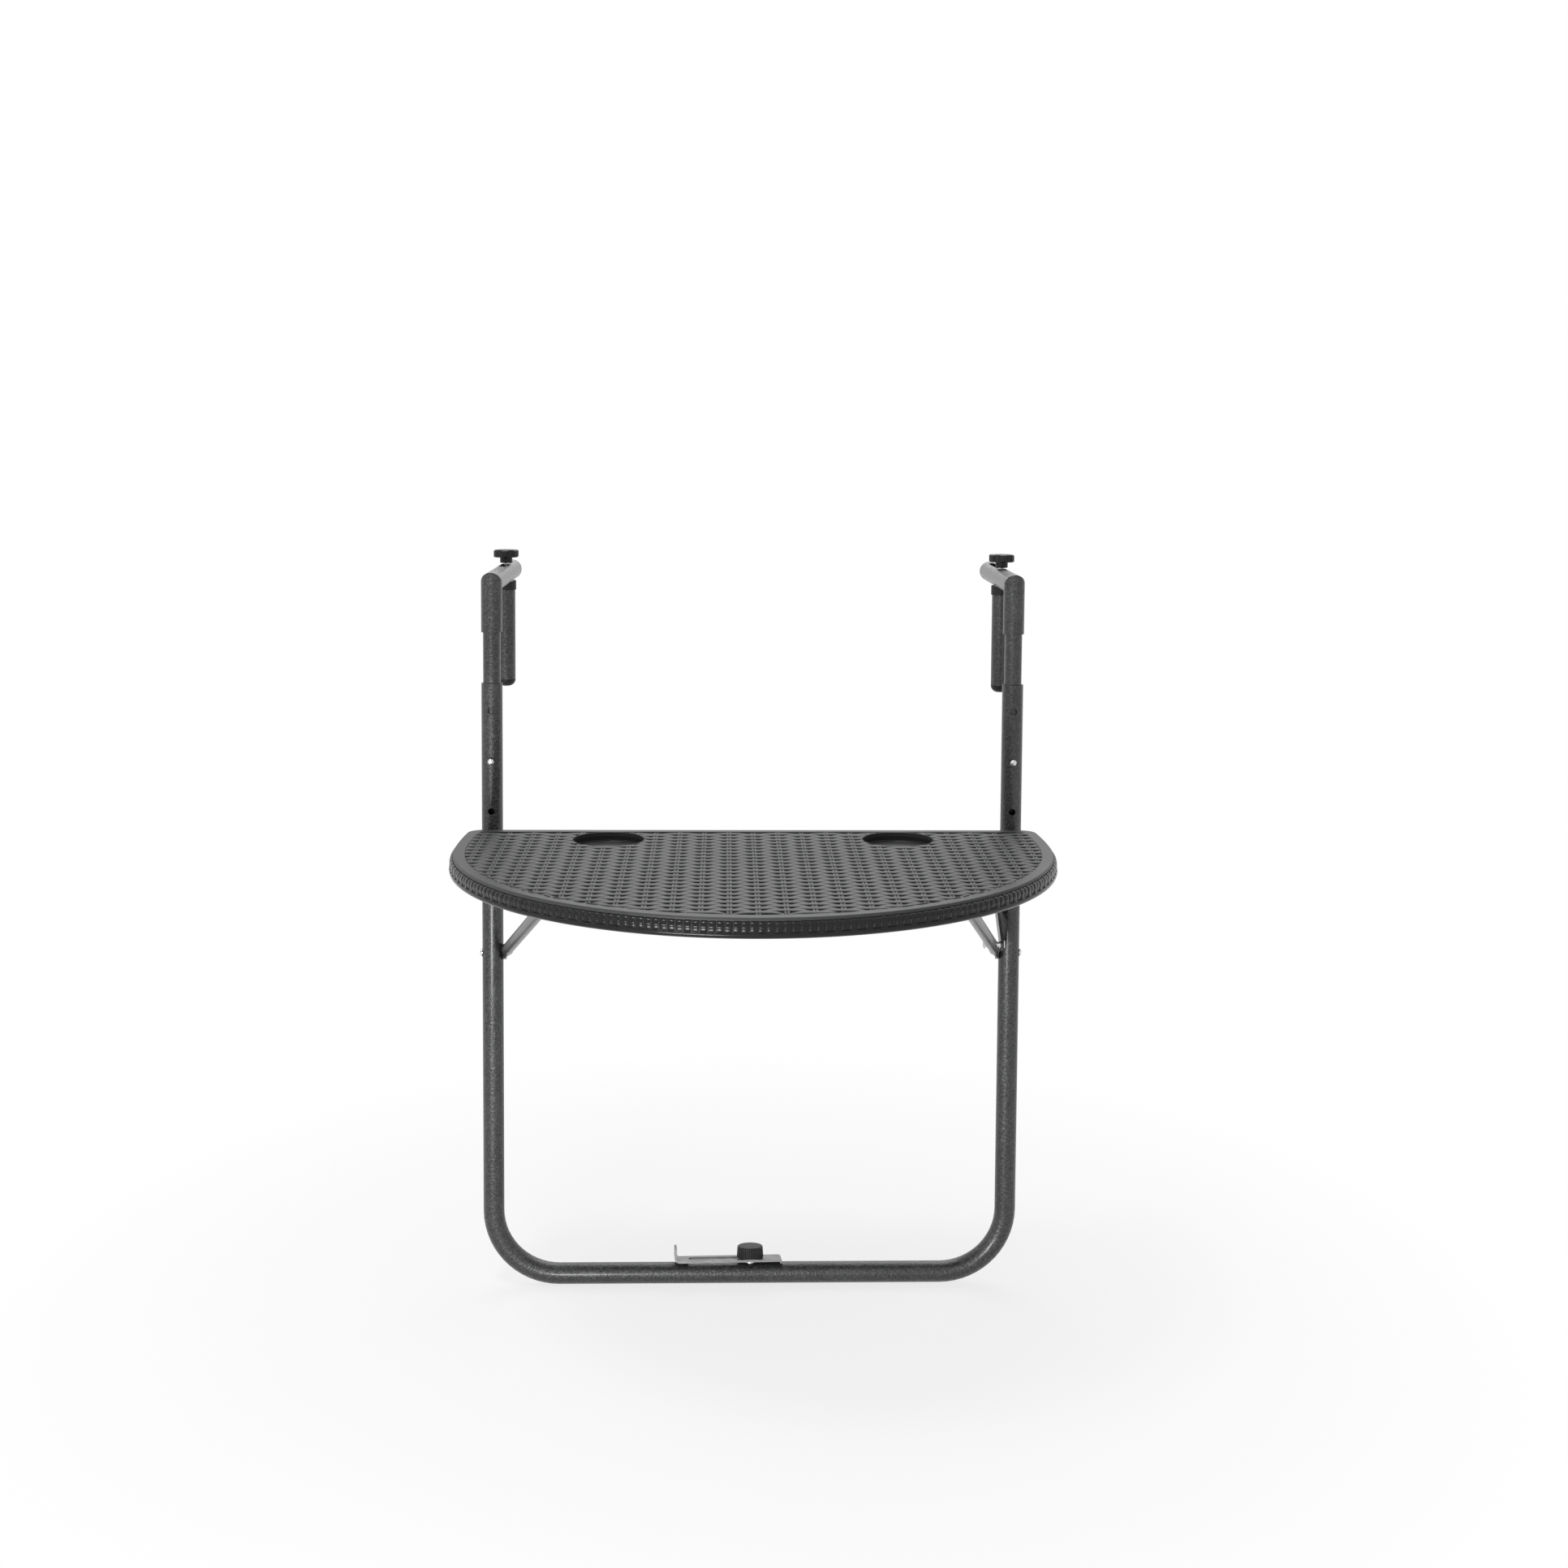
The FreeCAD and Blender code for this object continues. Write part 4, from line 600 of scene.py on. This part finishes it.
# %% All the bands
woven_face = bmesh.new()
rear_row = REAR - FIELD_INSET - BAND_HALF
front_row = FRONT_CENTRE - FRONT_RADIUS + FIELD_INSET + BAND_HALF
rows = int((rear_row - front_row) / BAND_PITCH) + 1
for row in range(rows):
    y = rear_row - row * BAND_PITCH
    edge = max(half_width(y + side * BAND_HALF, FIELD_INSET) for side in (-1, 0, 1))
    made = band(row, y, edge)
    if abs(y - CUP_PLACES[0].y) < CUP_RADIUS + 1.2 * BAND_HALF:
        made = clear_of_cups(made)
    take_in(woven_face, made)
weave_bands = piece_from(woven_face, "weave_bands", woven, "top")
print("%d rows of bands" % rows)

# %% [markdown]
# ## Strips under the bands
#
# Two narrow round strips lie side by side at every 25 mm. They rise a little
# between the bands that cross over them. They are strands too, this time
# along Y, and the same cylinders cut them at the cups.

# %% Strips
STRIP_HALF = 0.0013
STRIP_SIDE = 0.0014
STRIP_TOP = FACE + 0.0002
STRIP_STEP = 0.00375
STRIP_WAVE = 0.00025
TRIM_STEP = 0.0005
ROUND = [(-1.0, -0.0016), (-0.95, -0.0008), (-0.55, -0.00015), (0.0, 0.0), (0.55, -0.00015),
         (0.95, -0.0008), (1.0, -0.0016)]


def strip_strand(x, column, front, rear):
    """Strand of one strip at x."""
    rings = []
    for y in steps(front, rear, STRIP_STEP):
        over = math.cos(math.pi * ((rear_row - y) / BAND_PITCH + column))
        level = STRIP_TOP - STRIP_WAVE * (1 + over) - dip(y, front, rear)
        rings.append([Vector((x + across * STRIP_HALF, y, level + drop)) for across, drop in ROUND])
    return strand(rings)


def strip_ends(x):
    """Front and rear end of a strip at x, both inside the border."""
    reach = FRONT_RADIUS - FIELD_INSET
    outer = abs(x) + STRIP_HALF
    front = FRONT_CENTRE - math.sqrt(reach ** 2 - outer ** 2)
    rear = REAR - FIELD_INSET
    while half_width(rear, FIELD_INSET) < outer and rear > front:
        rear -= TRIM_STEP
    return front, rear


strips = bmesh.new()
columns = int((FRONT_RADIUS - FIELD_INSET) / STRIP_PITCH)
for column in range(-columns, columns + 1):
    for side in (-1, 1):
        x = column * STRIP_PITCH + side * STRIP_SIDE
        made = strip_strand(x, column, *strip_ends(x))
        if min(abs(x - cup.x) for cup in CUP_PLACES) < CUP_RADIUS + 2 * STRIP_HALF:
            made = clear_of_cups(made)
        take_in(strips, made)
weave_strips = piece_from(strips, "weave_strips", woven, "top")
bpy.data.objects.remove(cutter)

# %% [markdown]
# ## Ribbed edge
#
# The rim looks as if reed were wound over it: upright pads 7 mm apart whose
# shoulders bulge under the edge of the face, and a smooth lip along the
# bottom. Every second pad dives behind the lip, which shows there as a small
# ledge. A pad is drawn once as a closed profile, is extruded to its width, and
# gets its side edges bevelled. Copies are then set round the edge, each turned
# to face outwards. The rail's two ends pass through notches in the rear rim,
# and nothing is set across those. The lip is one strand per stretch between
# the notches.

# %% Profiles: inset from the edge and drop below the face
PADS = 234
PAD_PITCH = 2 * HALF_ROUND_TRIP / PADS
PAD_GAP = 0.0007
PAD_WIDTH = PAD_PITCH - PAD_GAP
PAD_BEVEL = 0.0006
OVER = [(0.0023, -0.0038), (0.0020, -0.0032), (0.0015, -0.0031), (0.0001, -0.0045),
        (-0.0003, -0.0052), (-0.0008, -0.0076), (-0.0008, -0.0082), (-0.0005, -0.0092),
        (-0.0003, -0.0110), (-0.0005, -0.0122), (-0.0011, -0.0130), (-0.0011, -0.0142)]
UNDER = [(0.0023, -0.0039), (0.0020, -0.0034), (0.0015, -0.0033), (0.0002, -0.0046),
         (-0.0002, -0.0053), (-0.0006, -0.0076), (-0.0006, -0.0082), (-0.0003, -0.0092),
         (-0.0001, -0.0108), (0.0, -0.0122), (0.0004, -0.0132)]
INSIDE = [(0.0012, -0.0138), (0.0012, -0.0080), (0.0020, -0.0055)]
LIP = [(0.0008, -0.0125), (0.0001, -0.0126), (-0.0008, -0.0128), (-0.0012, -0.0132),
       (-0.0013, -0.0146), (-0.0009, -0.0162), (-0.0001, -0.0172), (0.0013, -0.0180),
       (0.0016, -0.0170)]


def make_pad(work, outer):
    """One pad about the origin, facing +Y, its width along X."""
    corners = [work.verts.new((-PAD_WIDTH / 2, -inset, drop)) for inset, drop in outer + INSIDE]
    side = work.faces.new(corners)
    made = bmesh.ops.extrude_face_region(work, geom=[side])["geom"]
    bmesh.ops.translate(work, vec=(PAD_WIDTH, 0, 0),
                        verts=[part for part in made if isinstance(part, bmesh.types.BMVert)])
    shown = {(round(-inset, 5), round(drop, 5)) for inset, drop in outer}
    rims = [edge for edge in work.edges
            if abs(edge.verts[0].co.x - edge.verts[1].co.x) < 1e-6
            and all((round(corner.co.y, 5), round(corner.co.z, 5)) in shown
                    for corner in edge.verts)]
    bmesh.ops.bevel(work, geom=rims, offset=PAD_BEVEL, offset_type="OFFSET", segments=2,
                    profile=0.5, affect="EDGES", material=-1)
    bmesh.ops.recalc_face_normals(work, faces=work.faces)


# %% Pads round the rim
NOTCH_SIDE = 0.2557
NOTCH_HALF = 0.0072


def in_notch(place, half):
    """True where a piece of that half width would cross a notch of the rear rim."""
    spot = place.translation
    return spot.y > REAR - 0.001 and abs(abs(spot.x) - NOTCH_SIDE) < NOTCH_HALF + half


rim = bmesh.new()
for kind, outer in enumerate((OVER, UNDER)):
    single = bmesh.new()
    make_pad(single, outer)
    pad_mesh = bpy.data.meshes.new("pad")
    single.to_mesh(pad_mesh)
    single.free()
    for number in range(kind, PADS, 2):
        place = edge_place((number + 0.5) * PAD_PITCH)
        if in_notch(place, PAD_WIDTH / 2):
            continue
        before = len(rim.verts)
        rim.from_mesh(pad_mesh)
        rim.verts.ensure_lookup_table()
        bmesh.ops.transform(rim, matrix=place, verts=rim.verts[before:])
    bpy.data.meshes.remove(pad_mesh)
rim_pads = piece_from(rim, "rim_pads", polished_shaded, "top")

# %% Lip along the bottom of the rim
REAR_HALF = NOTCH_SIDE - NOTCH_HALF
FRONT_START = NOTCH_SIDE + NOTCH_HALF
lip = bmesh.new()
for start, end in ((FRONT_START, 2 * HALF_ROUND_TRIP - FRONT_START), (-REAR_HALF, REAR_HALF)):
    rings = []
    for walked in steps(start, end, PAD_PITCH / 2):
        place = edge_place(walked % (2 * HALF_ROUND_TRIP))
        rings.append([place @ Vector((0, -inset, drop)) for inset, drop in LIP])
    take_in(lip, strand(rings))
rim_lip = piece_from(lip, "rim_lip", polished_shaded, "top")

# %% [markdown]
# ## Room
#
# A pale floor just under the bottom tube keeps the table's soft shadow. The
# camera, gloss and glass see white beyond it: the world gives it to those rays
# only, and the floor turns into the same white away from the table, so none of
# it brightens the object.

# %% Rays that see the white room
def seen(nodes, links):
    """Socket that is 1 for camera, glossy and transmission rays."""
    path = nodes.new("ShaderNodeLightPath")
    total = path.outputs["Is Camera Ray"]
    for name in ("Is Glossy Ray", "Is Transmission Ray"):
        made = nodes.new("ShaderNodeMath")
        made.operation = "MAXIMUM"
        links.new(total, made.inputs[0])
        links.new(path.outputs[name], made.inputs[1])
        total = made.outputs[0]
    return total


def mixed(nodes, links, share, first, second, output):
    """Mixes two shaders by a share and leads them to the output."""
    blend = nodes.new("ShaderNodeMixShader")
    links.new(share, blend.inputs[0])
    links.new(first, blend.inputs[1])
    links.new(second, blend.inputs[2])
    links.new(blend.outputs[0], output)


# %% Floor
FLOOR = -0.7405
floor_mesh = bmesh.new()
bmesh.ops.create_grid(floor_mesh, x_segments=2, y_segments=2, size=8.0)
bmesh.ops.translate(floor_mesh, vec=(0, 0, FLOOR), verts=floor_mesh.verts)
mesh = bpy.data.meshes.new("floor")
floor_mesh.to_mesh(mesh)
floor_mesh.free()
floor = bpy.data.objects.new("floor", mesh)
bpy.context.scene.collection.objects.link(floor)

FADE_FROM = 0.75
FADE_TO = 1.10
NEAR_SHARE = 0.76
pale = Finish("pale_floor", Roughness=0.8)
pale.set("Base Color", pale.colour(pale.noise(3.0), (0.80, 0.80, 0.80), (0.83, 0.83, 0.83)))
away = pale.node("ShaderNodeVectorMath", {"operation": "LENGTH"}, Vector=pale.place).out("Value")
share = away.above(FADE_FROM, FADE_TO) * (1 - NEAR_SHARE) + NEAR_SHARE
share = share * Field(pale, seen(pale.tree.nodes, pale.tree.links))
glow = pale.node("ShaderNodeEmission", Color=(1, 1, 1, 1), Strength=1.0).out("Emission")
mixed(pale.tree.nodes, pale.tree.links, share.socket, pale.shader.outputs[0], glow.socket,
      pale.tree.nodes["Material Output"].inputs["Surface"])
mesh.materials.append(pale.material)

# %% White beyond the floor
world = bpy.data.worlds.new("room")
bpy.context.scene.world = world
world.use_nodes = True
nodes, links = world.node_tree.nodes, world.node_tree.links
soft = nodes["Background"]
soft.inputs["Color"].default_value = (1, 1, 1, 1)
soft.inputs["Strength"].default_value = 0.30
white = nodes.new("ShaderNodeBackground")
white.inputs["Color"].default_value = (1, 1, 1, 1)
white.inputs["Strength"].default_value = 1.0
mixed(nodes, links, seen(nodes, links), soft.outputs[0], white.outputs[0],
      nodes["World Output"].inputs["Surface"])


# %% [markdown]
# ## Lamps
#
# The photograph has its light high above and behind the table, so upper faces
# are pale and what looks at the camera is dark. One lamp overhead, a little to
# the left, puts a bright line on the shoulders of the rim. A large one behind
# gives the weave its sheen. A weak one from the left opens the shadows, and one
# low in front lights the lower part of the frame, as a floor does.

# %% Lamps
def lamp(name, place, aim, size, power):
    """Soft square lamp that looks at a point."""
    light = bpy.data.lights.new(name, "AREA")
    light.energy = power
    light.size = size
    made = bpy.data.objects.new(name, light)
    made.location = place
    made.rotation_mode = "QUATERNION"
    made.rotation_quaternion = (Vector(aim) - Vector(place)).to_track_quat("-Z", "Y")
    made.visible_camera = False
    bpy.context.scene.collection.objects.link(made)


lamp("overhead", (-0.60, -0.80, 1.75), (0, -0.2, -0.3), 0.50, 22)
lamp("behind", (0.3, 1.5, 1.4), (0, -0.1, -0.3), 1.8, 20)
lamp("left", (-1.9, -0.9, 0.3), (0, -0.1, -0.3), 1.0, 1.5)
lamp("low", (-0.4, -1.2, -0.66), (0, 0, -0.70), 0.4, 12)

bpy.context.scene.view_settings.view_transform = "Standard"
print("lamps set")
